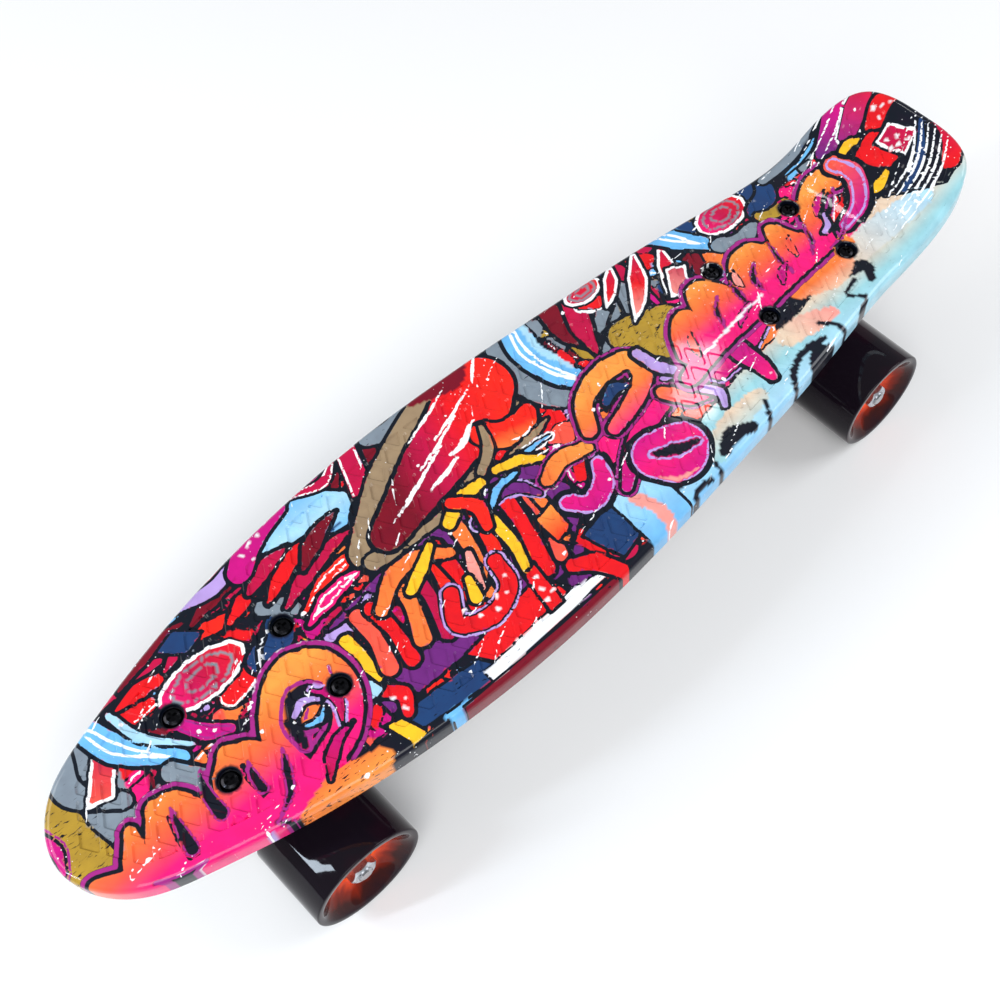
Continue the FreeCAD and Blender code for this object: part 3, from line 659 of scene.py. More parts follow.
class Film:
    """Fill colours and line distances held at places on the deck, painted shape over shape."""

    def __init__(self, places):
        self.places = places
        self.fill = np.tile(INK, (len(places), 1))
        self.ink = np.full(len(places), FAR)
        self.trim = np.full(len(places), FAR)
        self.trim_colour = np.tile(VIOLET, (len(places), 1))
        self.chalk = np.full(len(places), FAR)
        self.speckle = np.zeros(len(places))

    def near(self, points, reach):
        low, high = points.min(axis=0) - reach, points.max(axis=0) + reach
        return np.nonzero(((self.places > low) & (self.places < high)).all(axis=1))[0]

    def cover(self, chosen, distance, fill, ink, trim, speckle):
        """Lays one shape over what is there: its fill, its ink outside it and its trim line."""
        inside = distance < 0
        places = self.places[chosen[inside]]
        self.fill[chosen[inside]] = fill(places) if callable(fill) else fill
        self.speckle[chosen[inside]] = speckle
        inner = min(0.5, ink / 2)
        line = np.abs(distance - (ink - inner) / 2) / max((ink + inner) / 2, 0.01)
        if ink == 0:
            line = np.full(len(distance), FAR)
        self.ink[chosen] = np.where(inside, line, np.minimum(self.ink[chosen], line))
        if trim is None:
            covered = distance < ink
            self.trim[chosen[covered]] = FAR
            return
        colour, offset, half_width = trim
        line = np.abs(distance - offset) / half_width
        covered = distance < max(ink, offset + half_width)
        self.trim[chosen] = np.where(covered, line, np.minimum(self.trim[chosen], line))
        self.trim_colour[chosen[covered & (line < LINE_LIMIT)]] = colour

    def band(self, points, widths, fill, ink=1.3, trim=None, speckle=0):
        path, radii = smooth_path(points, widths)
        chosen = self.near(path, radii.max() + ink + BAND_REACH)
        self.cover(chosen, path_distance(self.places[chosen], path, radii), fill, ink, trim, speckle)

    def patch(self, corners, fill, ink=1.3, trim=None, speckle=0):
        corners = np.array(corners, float)
        chosen = self.near(corners, ink + BAND_REACH)
        distance = patch_distance(self.places[chosen], corners)
        self.cover(chosen, distance, fill, ink, trim, speckle)

    def mass(self, bands, fill, ink, trim):
        """Several bands run together into one shape with one edge."""
        paths = [smooth_path(points, widths) for points, widths in bands]
        chosen = self.near(np.vstack([path for path, _ in paths]), MASS_REACH)
        places = self.places[chosen]
        distance = np.min([path_distance(places, path, radii) for path, radii in paths], axis=0)
        self.cover(chosen, distance, fill, ink, trim, 0)

    def chalk_line(self, points, widths):
        path, radii = smooth_path(points, widths)
        chosen = self.near(path, radii.max() + CHALK_REACH)
        distance = 1 + path_distance(self.places[chosen], path, radii) / radii.mean()
        self.chalk[chosen] = np.minimum(self.chalk[chosen], distance)


def leaf(film, x, y, angle, length, width, fill, ink=1.0, bend=0.15, trim=None):
    """Pointed streak that swells in the middle and bends a little."""
    turn = math.radians(angle)
    ahead = np.array((math.cos(turn), math.sin(turn)))
    aside = np.array((-ahead[1], ahead[0]))
    points = [np.array((x, y)) + ahead * length * share + aside * length * bend * lift
              for share, lift in ((0, 0), (0.35, 0.8), (0.7, 0.8), (1, 0))]
    film.band(points, (width * 0.3, width, width * 0.75, 0.3), fill, ink, trim)


def target(film, x, y, half_x, half_y, fill):
    """Oval with a pale edge and thin rings inside it."""
    def ring(share):
        return [(x + half_x * share * math.cos(turn), y + half_y * share * math.sin(turn))
                for turn in np.radians(np.arange(0, 361, 30))]

    film.patch(ring(1)[:-1], fill, 1.6, (WHITE, -0.6, 0.9))
    for share in (0.68, 0.36):
        film.band(ring(share), 0.6, GREY, 0)


def lobes(film, bands, high, low):
    """Fat curved strokes run together, amber above and pink below, in a broad ink edge with a violet line."""
    fill = fade((0, high), (0, low), AMBER, ORANGE, CORAL, PINK, PINK)
    film.mass(bands, fill, 3.6, (VIOLET, 2.4, 1.0))


def cut(film, points, widths):
    """Ink cut into a shape, with a violet edge on the ink."""
    film.band(points, widths, INK, 0, (VIOLET, -0.2, 0.5))


def scattered(film, seed, count, corner, far_corner, angle, colours):
    """Seeded ground of overlapping streaks in an area, so that no plain ink is left between the shapes."""
    rng = np.random.default_rng(seed)
    for index in range(count):
        x, y = rng.uniform(corner, far_corner)
        leaf(film, x, y, rng.normal(angle, 35), rng.uniform(16, 36), rng.uniform(4.5, 8.5),
             colours[index % len(colours)], rng.uniform(0.4, 1.1), rng.uniform(-0.2, 0.2),
             (WHITE, -1.6, 0.5) if index % 5 == 0 else None)


def paint_ground(film):
    """Busy ground under the large shapes, in the colours of each part of the board."""
    reds = (RED, CRIMSON, SKY, DARK_RED, BRIGHT, GREY, MAGENTA, CRIMSON, LILAC, RED)
    warm = (PINK, CORAL, MAGENTA, PINK, ORANGE, VIOLET)
    mixed = (RED, CRIMSON, ORANGE, PURPLE, BRIGHT, YELLOW, MAGENTA, RED, SKY, CORAL)
    rear = (CRIMSON, GREY, RED, OCHRE, SKY, DARK_RED, RED, DEEP_BLUE)
    loops = (MAGENTA, PINK, PURPLE, ORANGE, LILAC, CORAL, PINK, RED)
    tail = (CRIMSON, DEEP_BLUE, RED, PURPLE, INK, MAGENTA, GREY)
    scattered(film, 11, 90, (-270, 0), (-60, 76), 15, reds)
    scattered(film, 12, 34, (-280, -60), (-150, 0), 20, warm)
    scattered(film, 13, 84, (-155, -74), (0, 12), 70, mixed)
    scattered(film, 14, 46, (20, 10), (130, 76), 230, rear)
    scattered(film, 15, 50, (-20, -50), (110, 20), 30, loops)
    scattered(film, 16, 36, (110, 16), (220, 64), 10, rear)
    scattered(film, 17, 32, (90, -20), (240, 20), 40, loops)
    scattered(film, 18, 44, (220, -20), (285, 60), 25, tail)


def dotted(film, points, radius):
    """White dots."""
    for x, y in points:
        film.band([(x, y), (x + 0.4, y)], radius, WHITE, 0)


def paint_nose(film):
    """Grey and ochre ground of the nose, with sky-blue arcs behind it."""
    film.patch([(-290, -30), (-252, -30), (-236, 40), (-250, 60), (-290, 60)], GREY, 0, speckle=0.5)
    film.band([(-268, 34), (-279, 12), (-272, -16)], (12, 15, 10), OCHRE, 1.0, speckle=1)
    film.band([(-283, 18), (-281, 6), (-284, -4)], (2.2, 3.0, 1.5), MAGENTA, 1.0, (VIOLET, 1.6, 0.6))
    film.band([(-258, 40), (-262, 22), (-248, 4)], (7, 6, 4), GREY, 1.2, speckle=0.5)
    film.patch([(-262, 12), (-244, 33), (-238, 24), (-250, 8)], fade((-262, 10), (-240, 30), CORAL, CRIMSON),
               1.3, (WHITE, -0.7, 0.8))
    film.band([(-243, 52), (-237, 26), (-219, 2)], (5.5, 7, 4), SKY, 1.4, (WHITE, -4.6, 0.7))
    film.band([(-230, 40), (-226, 22), (-212, 4)], (2.2, 2.6, 1.5), PALE_SKY, 1.1)
    film.band([(-226, 0), (-219, -12), (-212, -18)], (5, 6, 4), GREY, 1.5)
    film.band([(-246, 50), (-214, 62), (-176, 66), (-148, 62)], (4, 7, 9, 6), SKY, 1.6)
    film.band([(-232, 52), (-204, 58), (-184, 52)], (1.0, 1.6, 0.8), DEEP_BLUE, 0)
    film.patch([(-226, 51), (-186, 64), (-190, 56), (-222, 45)], RED, 1.2)


def paint_front_reds(film):
    """Crimson leaves and the ringed oval between the front truck bolts and the far edge."""
    for index, (x, y, angle, length) in enumerate((
            (-232, 46, -4, 40), (-226, 40, -10, 34), (-220, 47, 8, 44), (-200, 40, 12, 40),
            (-186, 44, -16, 34), (-178, 50, 4, 40), (-166, 38, 10, 34))):
        colour = (CRIMSON, RED, DARK_RED, CRIMSON, BRIGHT, DARK_RED, RED)[index]
        leaf(film, x, y, angle, length, 4.2, colour, 1.5, 0.1)
    film.patch([(-198, 50), (-186, 54), (-176, 44), (-188, 40)], DEEP_BLUE, 1.0)
    film.band([(-210, 14), (-204, 4), (-196, -2)], (3.5, 4.5, 3), MAGENTA, 1.3, (VIOLET, -1.6, 0.6))
    film.band([(-186, 10), (-176, 14), (-170, 22)], (6, 7, 4), RED, 1.6, (WHITE, -1.0, 0.6))
    target(film, -190, 26, 23, 11.5, fade((-214, 20), (-166, 32), PINK, CRIMSON, RED))
    film.band([(-166, 14), (-154, 18), (-146, 28)], (7, 8, 4), DEEP_BLUE, 1.6)
    film.band([(-172, 6), (-162, 20), (-148, 26)], (0.8, 1.1, 0.8), WHITE, 1.0)
    film.band([(-150, 34), (-142, 28), (-138, 20)], (4, 5, 3), GREY, 1.4)
    film.patch([(-176, 2), (-166, 12), (-158, 6), (-166, -2)], OCHRE, 1.1, speckle=0.8)
    for index, (x, y, angle, length) in enumerate((
            (-146, 34, 18, 44), (-142, 26, 12, 52), (-138, 18, 8, 50), (-124, 36, 24, 34),
            (-150, 44, 14, 30), (-140, 12, 6, 40))):
        colour = (RED, CRIMSON, BRIGHT, DARK_RED, CRIMSON, PINK)[index]
        trim = (WHITE, -2.4, 0.6) if index in (2, 5) else None
        leaf(film, x, y, angle, length, 4.6, colour, 1.6, 0.08, trim)
    film.band([(-182, 66), (-160, 60), (-136, 66)], (5, 6, 4), LILAC, 1.3)
    film.band([(-176, 70), (-158, 67), (-140, 72)], (4, 4.5, 3), CRIMSON, 1.2, (WHITE, -1.4, 0.5))
    film.band([(-146, 56), (-132, 66), (-112, 70)], (6, 7, 4), MAGENTA, 1.5)
    dotted(film, [(-140, 62), (-134, 65), (-128, 66), (-137, 57), (-122, 69)], 0.9)


def paint_pool(film):
    """Pale blue pool with a soft lower edge, and the striped shapes beside it."""
    film.band([(-122, 54), (-106, 56), (-92, 50)], (11, 15, 10), fade((0, 70), (0, 38), SKY, PALE_SKY, SKY),
              2.0)
    film.band([(-124, 47), (-110, 42), (-96, 44)], (0.7, 1.0, 0.7), DEEP_BLUE, 0)
    film.band([(-104, 72), (-88, 66), (-76, 74)], (2.4, 3.2, 2), CRIMSON, 1.2, (WHITE, -1.0, 0.5))
    film.patch([(-84, 48), (-74, 74), (-62, 74), (-72, 46)], CRIMSON, 1.4, (WHITE, -1.3, 0.6))
    film.patch([(-70, 48), (-60, 74), (-52, 74), (-62, 50)], DARK_RED, 1.4)
    film.band([(-92, 34), (-82, 42), (-66, 46)], (4, 5, 3), CRIMSON, 1.6)
    film.band([(-56, 70), (-44, 66), (-30, 72)], (5, 6, 4), GREY, 1.3, speckle=0.5)


def paint_paddle(film):
    """Big red paddle with a tan rim, the strongest shape of the pattern."""
    film.band([(-96, 22), (-62, 44), (-20, 64), (20, 76)], (10, 13, 10, 6), TAN, 1.5)
    film.band([(-98, 16), (-60, 10), (-20, 22), (10, 34)], (5, 4, 3, 2), TAN, 1.3)
    film.band([(-84, 22), (-44, 36), (-12, 46), (2, 54)], (9, 16, 20, 19),
              fade((-60, 54), (24, 34), DARK_RED, CRIMSON, RED, BRIGHT, BRIGHT), 1.8)
    film.band([(-26, 72), (-4, 66), (8, 74)], (4, 5, 3), DARK_RED, 0)
    film.band([(-14, 32), (-8, 25), (2, 22), (10, 26)], (7, 8, 8, 5),
              fade((0, 16), (8, 40), ORANGE, BRIGHT, BRIGHT, RED), 1.6)
    film.band([(-30, 16), (-18, 24), (-12, 36)], (2.5, 3.2, 1.5), TAN, 1.3)
    for y, shift in ((62, 0), (54, 10), (46, -6), (38, -22), (33, -34)):
        film.chalk_line([(-44 + shift, y - 8), (-28 + shift, y - 3), (-10 + shift, y + 4)], (0.5, 0.9, 0.4))
    film.chalk_line([(-34, 34), (-24, 35), (-16, 40)], (0.8, 1.8, 1.0))
    film.chalk_line([(-54, 26), (-42, 28), (-32, 31)], (0.6, 1.4, 0.8))
    film.chalk_line([(2, 58), (8, 64), (14, 70)], (0.5, 1.0, 0.6))
    film.chalk_line([(-8, 19), (0, 17), (10, 20)], (0.4, 0.7, 0.4))
    film.band([(-28, 10), (-14, 12), (4, 14), (14, 16)], (1.6, 2.6, 2.2, 1.0), TAN, 1.3)
    film.band([(-22, 4), (-10, 9), (8, 8)], (1.4, 2.0, 1.2), SKY, 1.0, (WHITE, 1.2, 0.6))


def paint_middle_arcs(film):
    """Grey and sky-blue arcs across the board behind the paddle."""
    film.band([(30, 74), (20, 50), (24, 24), (40, 10)], (6, 6.5, 6, 4), GREY, 1.5, speckle=0.3)
    film.band([(42, 76), (34, 54), (38, 30), (50, 12)], (6.5, 7.5, 7, 4), SKY, 1.8, (WHITE, -5.6, 0.8))
    film.band([(46, 72), (41, 50), (45, 30)], (1.6, 2.2, 1.2), PALE_SKY, 0)
    film.band([(62, 70), (58, 48), (62, 34)], (6, 6, 4), DARK_RED, 1.8)
    film.band([(76, 62), (66, 44), (60, 26)], (7, 6, 1.5), CRIMSON, 1.8)
    film.band([(64, 20), (82, 28), (96, 38), (92, 54)], (6, 9, 9, 6), GREY, 1.4, speckle=0.4)
    film.patch([(70, 18), (84, 30), (92, 44), (84, 26), (78, 14)], OCHRE, 1.1, speckle=0.8)


def paint_rear_reds(film):
    """Red wedges with pale edges, the ochre field and the second ringed oval."""
    film.band([(80, 22), (96, 10), (108, -6)], (12, 17, 10), OCHRE, 1.3, speckle=1)
    film.band([(84, 60), (76, 54), (88, 48), (96, 56)], (4, 3.5, 4, 3), RED, 1.4, (WHITE, 1.0, 0.8))
    target(film, 82, 60, 12, 7, fade((70, 60), (94, 60), CRIMSON, RED))
    for x, y, angle, length, width in ((118, 58, 226, 44, 5.5), (132, 52, 232, 34, 4.5),
                                       (104, 62, 222, 28, 4.0)):
        leaf(film, x, y, angle, length, width, fade((x - 30, y - 24), (x, y), ROSE, RED, CRIMSON), 1.7,
             0.06, (WHITE, -0.8, 0.8))
    film.patch([(112, 24), (124, 40), (134, 34), (122, 20)], fade((112, 24), (134, 34), ROSE, CRIMSON),
               1.6, (WHITE, -0.8, 0.7))
    film.band([(132, 66), (142, 50), (154, 32)], (7, 7, 4), SKY, 1.8, (WHITE, -5.2, 0.8))
    film.band([(146, 66), (152, 54), (158, 42)], (4, 4.5, 3), DEEP_BLUE, 1.3)
    film.band([(156, 30), (166, 24), (178, 26)], (5, 6, 4), GREY, 1.5, speckle=0.4)
    film.band([(152, 62), (170, 64), (190, 56)], (5, 6, 5), CRIMSON, 1.5)
    target(film, 172, 44, 17, 11, fade((156, 40), (188, 50), PINK, CRIMSON, RED))
    film.band([(188, 32), (200, 36), (206, 46)], (6, 6, 4), DEEP_BLUE, 1.5)
    film.band([(186, 28), (194, 24), (204, 26)], (3.5, 4, 2), OCHRE, 1.3, speckle=0.6)


def paint_front_lobes(film):
    """Row of amber to pink lobes along the near side of the nose."""
    lobes(film, (
        ([(-278, -22), (-264, -30), (-258, -18), (-254, -9)], (7, 9, 5.5, 3)),
        ([(-266, -40), (-244, -46), (-222, -48), (-200, -46), (-176, -46)], (7, 9, 9, 9, 8)),
        ([(-252, -38), (-248, -22), (-241, -8)], (8, 6.5, 4)),
        ([(-241, -8), (-232, -14), (-230, -36)], (4.5, 6, 9)),
        ([(-214, -38), (-212, -22), (-204, -11)], (9, 7, 5)),
        ([(-204, -11), (-195, -20), (-194, -40)], (5, 6, 8)),
        ([(-186, -40), (-186, -22), (-176, -7), (-161, 1), (-149, -7), (-149, -24), (-160, -38), (-176, -44)],
         (6, 6, 6.5, 8, 8, 7.5, 7, 7))), 0, -46)
    for points, widths in (
            ([(-240, -34), (-238, -22), (-236, -12)], (3.2, 2.2, 0.4)),
            ([(-222, -30), (-221, -18), (-217, -8)], (3.4, 2.6, 0.6)),
            ([(-203, -34), (-202, -26), (-200, -20)], (2.6, 2.0, 0.4)),
            ([(-260, -34), (-250, -40), (-238, -42)], (0.4, 1.3, 0.4)),
            ([(-206, -50), (-196, -44), (-190, -34), (-186, -26)], (0.6, 1.8, 2.2, 0.6)),
            ([(-160, -34), (-152, -24), (-147, -10)], (0.4, 1.0, 0.4))):
        cut(film, points, widths)
    film.band([(-178, -32), (-175, -20), (-166, -12), (-158, -14)], (1.5, 4, 5, 2), INK, 0,
              (VIOLET, 1.2, 0.9))
    film.band([(-160, -14), (-154, -24), (-160, -36)], (1.4, 3, 0.8),
              fade((0, -12), (0, -36), MAGENTA, CRIMSON), 1.0, (LILAC, 0.9, 0.7))
    film.band([(-173, -18), (-166, -15), (-160, -19)], (1.6, 2.6, 1.4), LILAC, 1.2)
    film.band([(-172, -25), (-166, -27), (-161, -24)], (1.2, 1.8, 0.8), SKY, 1.2)
    film.band([(-256, -51), (-234, -54), (-212, -52)], (0.6, 0.9, 0.6), LILAC, 0)
    film.band([(-196, -60), (-178, -57), (-158, -60)], (6, 7, 5), fade((0, -52), (0, -66), ORANGE, AMBER),
              0, speckle=1)
    for x in (-226, -208):
        cut(film, [(x, -50), (x + 5, -56), (x + 2, -64)], (1.0, 1.8, 0.6))
    leaf(film, -180, -52, 30, 28, 3.0, fade((-180, -52), (-156, -38), CRIMSON, MAGENTA), 1.2)


def paint_patchwork(film):
    """Leaning bars, dots and steps in red, orange, yellow and purple along the middle of the board."""
    film.patch([(-142, 4), (-100, 10), (-60, 8), (-8, 12), (-4, -30), (-40, -52), (-142, -48)], PURPLE, 1.2)
    film.patch([(-142, -50), (-90, -56), (-60, -62), (-70, -72), (-142, -62)], DEEP_BLUE, 1.0, speckle=0.4)
    film.patch([(-100, -50), (-48, -44), (-44, -66), (-90, -66)], RED, 1.3, speckle=0.2)
    film.patch([(-100, -62), (-44, -60), (-16, -66), (-44, -68), (-100, -69)], WHITE, 0.8, speckle=0.4)
    film.patch([(-118, -68), (-60, -70), (-24, -70), (-24, -80), (-118, -80)], DARK_RED, 0.8, speckle=0.5)
    film.band([(-138, 0), (-124, -2), (-112, 4)], (3, 3.5, 2), LILAC, 1.1)
    film.band([(-136, -12), (-122, -16), (-104, -12)], (5, 6, 4), CRIMSON, 1.5, (MAGENTA, -1.8, 0.7))
    dotted(film, [(-126, -8), (-120, -10), (-114, -7), (-130, -14), (-118, -17)], 0.9)
    bars = ((-136, -30, 84, 24, 3.6, YELLOW), (-128, -30, 78, 30, 4.6, CORAL),
            (-118, -34, 84, 32, 4.2, RED), (-108, -30, 70, 34, 4.6, ORANGE),
            (-98, -36, 76, 38, 4.0, CRIMSON), (-90, -30, 64, 30, 4.8, BRIGHT),
            (-80, -38, 80, 40, 4.4, RED), (-70, -34, 72, 36, 4.2, ORANGE),
            (-62, -34, 66, 38, 4.8, BRIGHT), (-50, -40, 80, 34, 3.8, YELLOW),
            (-44, -44, 74, 48, 4.8, RED), (-34, -44, 72, 38, 3.6, CORAL),
            (-26, -38, 78, 32, 3.2, ORANGE))
    for x, y, angle, length, width, colour in bars:
        turn = math.radians(angle)
        end = (x + length * math.cos(turn), y + length * math.sin(turn))
        middle = ((x + end[0]) / 2 + 1.5, (y + end[1]) / 2)
        film.band([(x, y), middle, end], (width, width * 0.8, width), colour, 1.5)
    film.band([(-112, -6), (-96, 4), (-80, 2), (-70, -6)], (3.5, 4.5, 4.5, 3), ORANGE, 1.5)
    film.band([(-96, -8), (-84, -2), (-74, 4)], (3, 3.4, 2), YELLOW, 1.3)
    film.band([(-84, -22), (-92, -36), (-78, -44), (-62, -38), (-58, -24)], (4, 4.4, 4.8, 4.4, 4), RED, 1.7,
              (LILAC, 1.0, 0.6))
    dotted(film, [(-82, -40), (-74, -43), (-66, -40), (-61, -33), (-86, -33), (-70, -38)], 0.95)
    film.band([(-72, -30), (-68, -20), (-64, -12)], (2.4, 3.2, 2), ROSE, 1.4)
    film.band([(-77, -32), (-73, -22)], (3.4, 2.2), YELLOW, 1.3)
    film.band([(-50, -4), (-36, 2), (-24, -2), (-18, -12)], (3.2, 4, 3.6, 2), PURPLE, 1.5, (LILAC, 1.1, 0.6))
    film.band([(-40, -2), (-30, 4), (-18, 4)], (1.6, 2.4, 1.4), SKY, 1.2)
    film.band([(-60, 6), (-48, 12), (-34, 12)], (3.4, 4.4, 3), YELLOW, 1.4)
    film.band([(-52, 14), (-44, 4), (-48, -8)], (3.2, 4.2, 3), BRIGHT, 1.5)
    film.band([(-24, 12), (-12, 8), (-2, 0)], (2.6, 3.4, 2), YELLOW, 1.3)
    film.patch([(-54, -40), (-46, -38), (-50, -62), (-58, -62)], RED, 1.3)
    dotted(film, [(-51, -44), (-53, -50), (-55, -56), (-50, -54)], 1.0)
    film.band([(-138, -36), (-132, -44), (-136, -52)], (3.4, 4, 3), RED, 1.4)
    dotted(film, [(-137, -42), (-133, -46), (-136, -50)], 0.8)
    film.patch([(-148, -50), (-140, -52), (-136, -66), (-144, -66)], YELLOW, 1.2)
    film.patch([(-146, -28), (-138, -26), (-136, -36), (-146, -38)], PALE_SKY, 1.1)
    film.band([(-34, -52), (-26, -58), (-20, -70)], (4, 5, 4), RED, 1.4)
    film.patch([(-20, -44), (2, -40), (4, -62), (-14, -66)], DEEP_BLUE, 1.2, speckle=0.3)
    film.patch([(-30, -22), (-18, -20), (-20, -36), (-30, -38)], fade((0, -20), (0, -38), AMBER, BRIGHT), 1.3)


def paint_middle_blobs(film):
    """Rounded loops in magenta and amber, with lilac light along their edges."""
    film.patch([(2, -36), (30, -40), (28, -76), (0, -76)], fade((0, -36), (0, -72), PALE_SKY, SKY), 1.2)
    film.band([(12, -46), (16, -58), (14, -72)], (3, 3.6, 3), ROSE, 0)
    lobe_trim = (LILAC, -1.0, 0.6)
    film.band([(-12, -26), (-4, -34), (8, -30), (14, -20)], (5, 6, 6, 4),
              fade((0, -16), (0, -38), PINK, MAGENTA), 2.6, lobe_trim)
    film.band([(-10, -10), (2, -6), (16, -10)], (4, 5, 4), fade((-10, 0), (16, 0), ORANGE, AMBER), 2.2,
              (VIOLET, 1.5, 0.6))
    film.band([(14, -40), (28, -30), (44, -22), (62, -18)], (3, 5, 6, 5),
              fade((0, -14), (0, -40), PINK, MAGENTA), 3.0, (VIOLET, 2.0, 0.6))
    film.band([(24, -4), (34, 10), (52, 16), (68, 12), (66, 0), (50, -8), (34, -12)],
              (4.5, 5, 6, 6, 5.5, 5, 4), fade((0, 14), (0, -16), AMBER, ORANGE, PINK), 3.2,
              (VIOLET, 2.2, 0.7))
    film.band([(42, 2), (50, 5), (56, 2)], (2.6, 3.4, 2), DEEP_BLUE, 1.2)
    film.band([(38, -38), (44, -43), (50, -42)], (14, 17, 14),
              fade((0, -24), (0, -60), MAGENTA, PINK, MAGENTA), 2.6, lobe_trim)
    film.band([(36, -36), (46, -42), (57, -46)], (1.4, 3.8, 1.6), INK, 0, (LILAC, 0.8, 0.7))
    film.band([(30, -48), (36, -55), (46, -57)], (0.6, 1.4, 0.6), ROSE, 0)
    film.band([(66, -14), (74, -26), (86, -30)], (4, 5, 4), fade((0, -10), (0, -34), ORANGE, PINK), 2.6,
              (VIOLET, 1.8, 0.6))
    film.band([(74, 12), (76, -2), (84, -14)], (3, 3.6, 3), LILAC, 2.0)
    film.band([(78, -22), (86, -34), (82, -42)], (2.4, 3, 2), LILAC, 1.2)


def paint_rear_lobes(film):
    """Second row of amber to pink lobes, from the middle of the board to the tail."""
    film.band([(96, -24), (116, -22), (136, -18)], (7, 8, 5), fade((0, -16), (0, -34), PINK, MAGENTA), 2.0,
              (LILAC, 1.2, 0.6))
    film.band([(112, -24), (113, -36), (112, -47)], (6, 5, 3), fade((0, -26), (0, -48), MAGENTA, PINK), 1.8)
    film.band([(166, -18), (184, -22), (202, -16)], (9, 12, 8),
              fade((0, -8), (0, -36), AMBER, ORANGE, CREAM), 0)
    lobes(film, (
        ([(82, -18), (108, -12), (134, -10), (164, -8), (196, -8)], (5, 7, 8, 8, 7)),
        ([(92, -8), (99, 4), (108, 10), (112, -4)], (6, 6, 5, 6)),
        ([(116, -8), (119, 8), (125, 18), (132, 8), (134, -6)], (7, 6, 5.5, 6.5, 7)),
        ([(142, -8), (147, 6), (156, 15), (166, 13), (168, 0)], (7, 6, 6, 7, 6.5)),
        ([(174, -6), (179, 8), (184, 19), (188, 5), (192, -6)], (6, 4.5, 3, 5, 6)),
        ([(198, -8), (205, 6), (214, 16), (226, 20), (237, 14)], (7, 6.5, 7, 8, 7)),
        ([(102, -4), (105, 3)], (5, 4)), ([(125, -3), (125, 11)], (6, 6)), ([(155, -2), (156, 8)], (7, 7)),
        ([(183, -4), (184, 12)], (6, 3))), 20, -14)
    film.band([(238, 22), (240, 8), (230, -5), (214, -9)], (5, 5.5, 5.5, 4),
              fade((0, 22), (0, -8), CORAL, MAGENTA), 2.2, (LILAC, -2.2, 0.7))
    for points, widths in (
            ([(118, -10), (122, 0), (130, 8)], (0.5, 1.8, 0.6)),
            ([(150, -8), (152, 2), (160, 9)], (0.6, 2.0, 0.8)),
            ([(170, -10), (172, 2), (175, 12)], (0.6, 1.6, 1.0)),
            ([(137, -10), (139, 0), (141, 10)], (0.6, 1.8, 1.2)),
            ([(186, -10), (194, -2), (198, 8)], (0.5, 1.6, 1.0)),
            ([(206, -2), (216, 4), (228, 12)], (0.6, 2.2, 0.8)),
            ([(196, -14), (208, -12), (218, -6)], (0.5, 1.2, 0.5))):
        cut(film, points, widths)
    for x, y, angle, length, colour in (
            (96, -12, 62, 16, CORAL), (124, -14, 20, 18, MAGENTA), (144, 2, 70, 12, ROSE),
            (160, -12, 35, 16, MAGENTA), (180, -4, 60, 14, CORAL), (208, 6, 30, 18, MAGENTA)):
        leaf(film, x, y, angle, length, 2.2, colour, 0.7, 0.1)
    film.band([(98, -13), (124, -10), (150, -8)], (0.5, 0.9, 0.5), WHITE, 0)
    film.band([(202, -4), (208, -2), (212, 5)], (1.6, 2.2, 1.2), LILAC, 1.2)


def paint_pale_edge(film):
    """Pale teal and cream ground along the near edge towards the tail, with brushed ink curves."""
    ground = [(18, -50), (60, -40), (100, -34), (150, -30), (196, -22), (244, -10), (290, -20), (290, -80),
              (18, -80)]
    film.patch(ground, fade((0, -28), (0, -72), CREAM, TEAL, PALE_SKY, SKY), 0.8, speckle=0.15)
    film.band([(58, -58), (76, -52), (98, -50)], (6, 7, 5), fade((0, -46), (0, -62), CREAM, TEAL), 0)
    film.band([(136, -36), (150, -38), (164, -42)], (6, 7, 4), fade((136, 0), (166, 0), CREAM, ROSE), 0)
    film.band([(192, -26), (220, -24), (250, -30)], (7, 9, 6), fade((192, 0), (256, 0), CREAM, PALE_SKY), 0)
    for points, width in (
            ([(20, -74), (24, -62), (36, -56), (50, -58)], 2.2), ([(30, -72), (36, -66), (46, -66)], 1.3),
            ([(112, -66), (120, -54), (134, -48), (148, -50)], 1.8),
            ([(158, -62), (160, -50), (154, -42)], 1.5),
            ([(176, -52), (184, -48), (178, -40), (190, -36)], 1.1), ([(54, -60), (52, -70)], 1.2),
            ([(92, -64), (98, -54)], 1.4)):
        film.band(points, width, INK, 0)
    film.band([(62, -60), (72, -56), (82, -60)], (3, 4.6, 3), INK, 0)
    film.band([(132, -58), (140, -54), (148, -58)], (2.6, 4, 2.6), INK, 0)
    film.band([(188, -30), (200, -34), (196, -42)], (3, 4.2, 2.4), INK, 0, speckle=1)


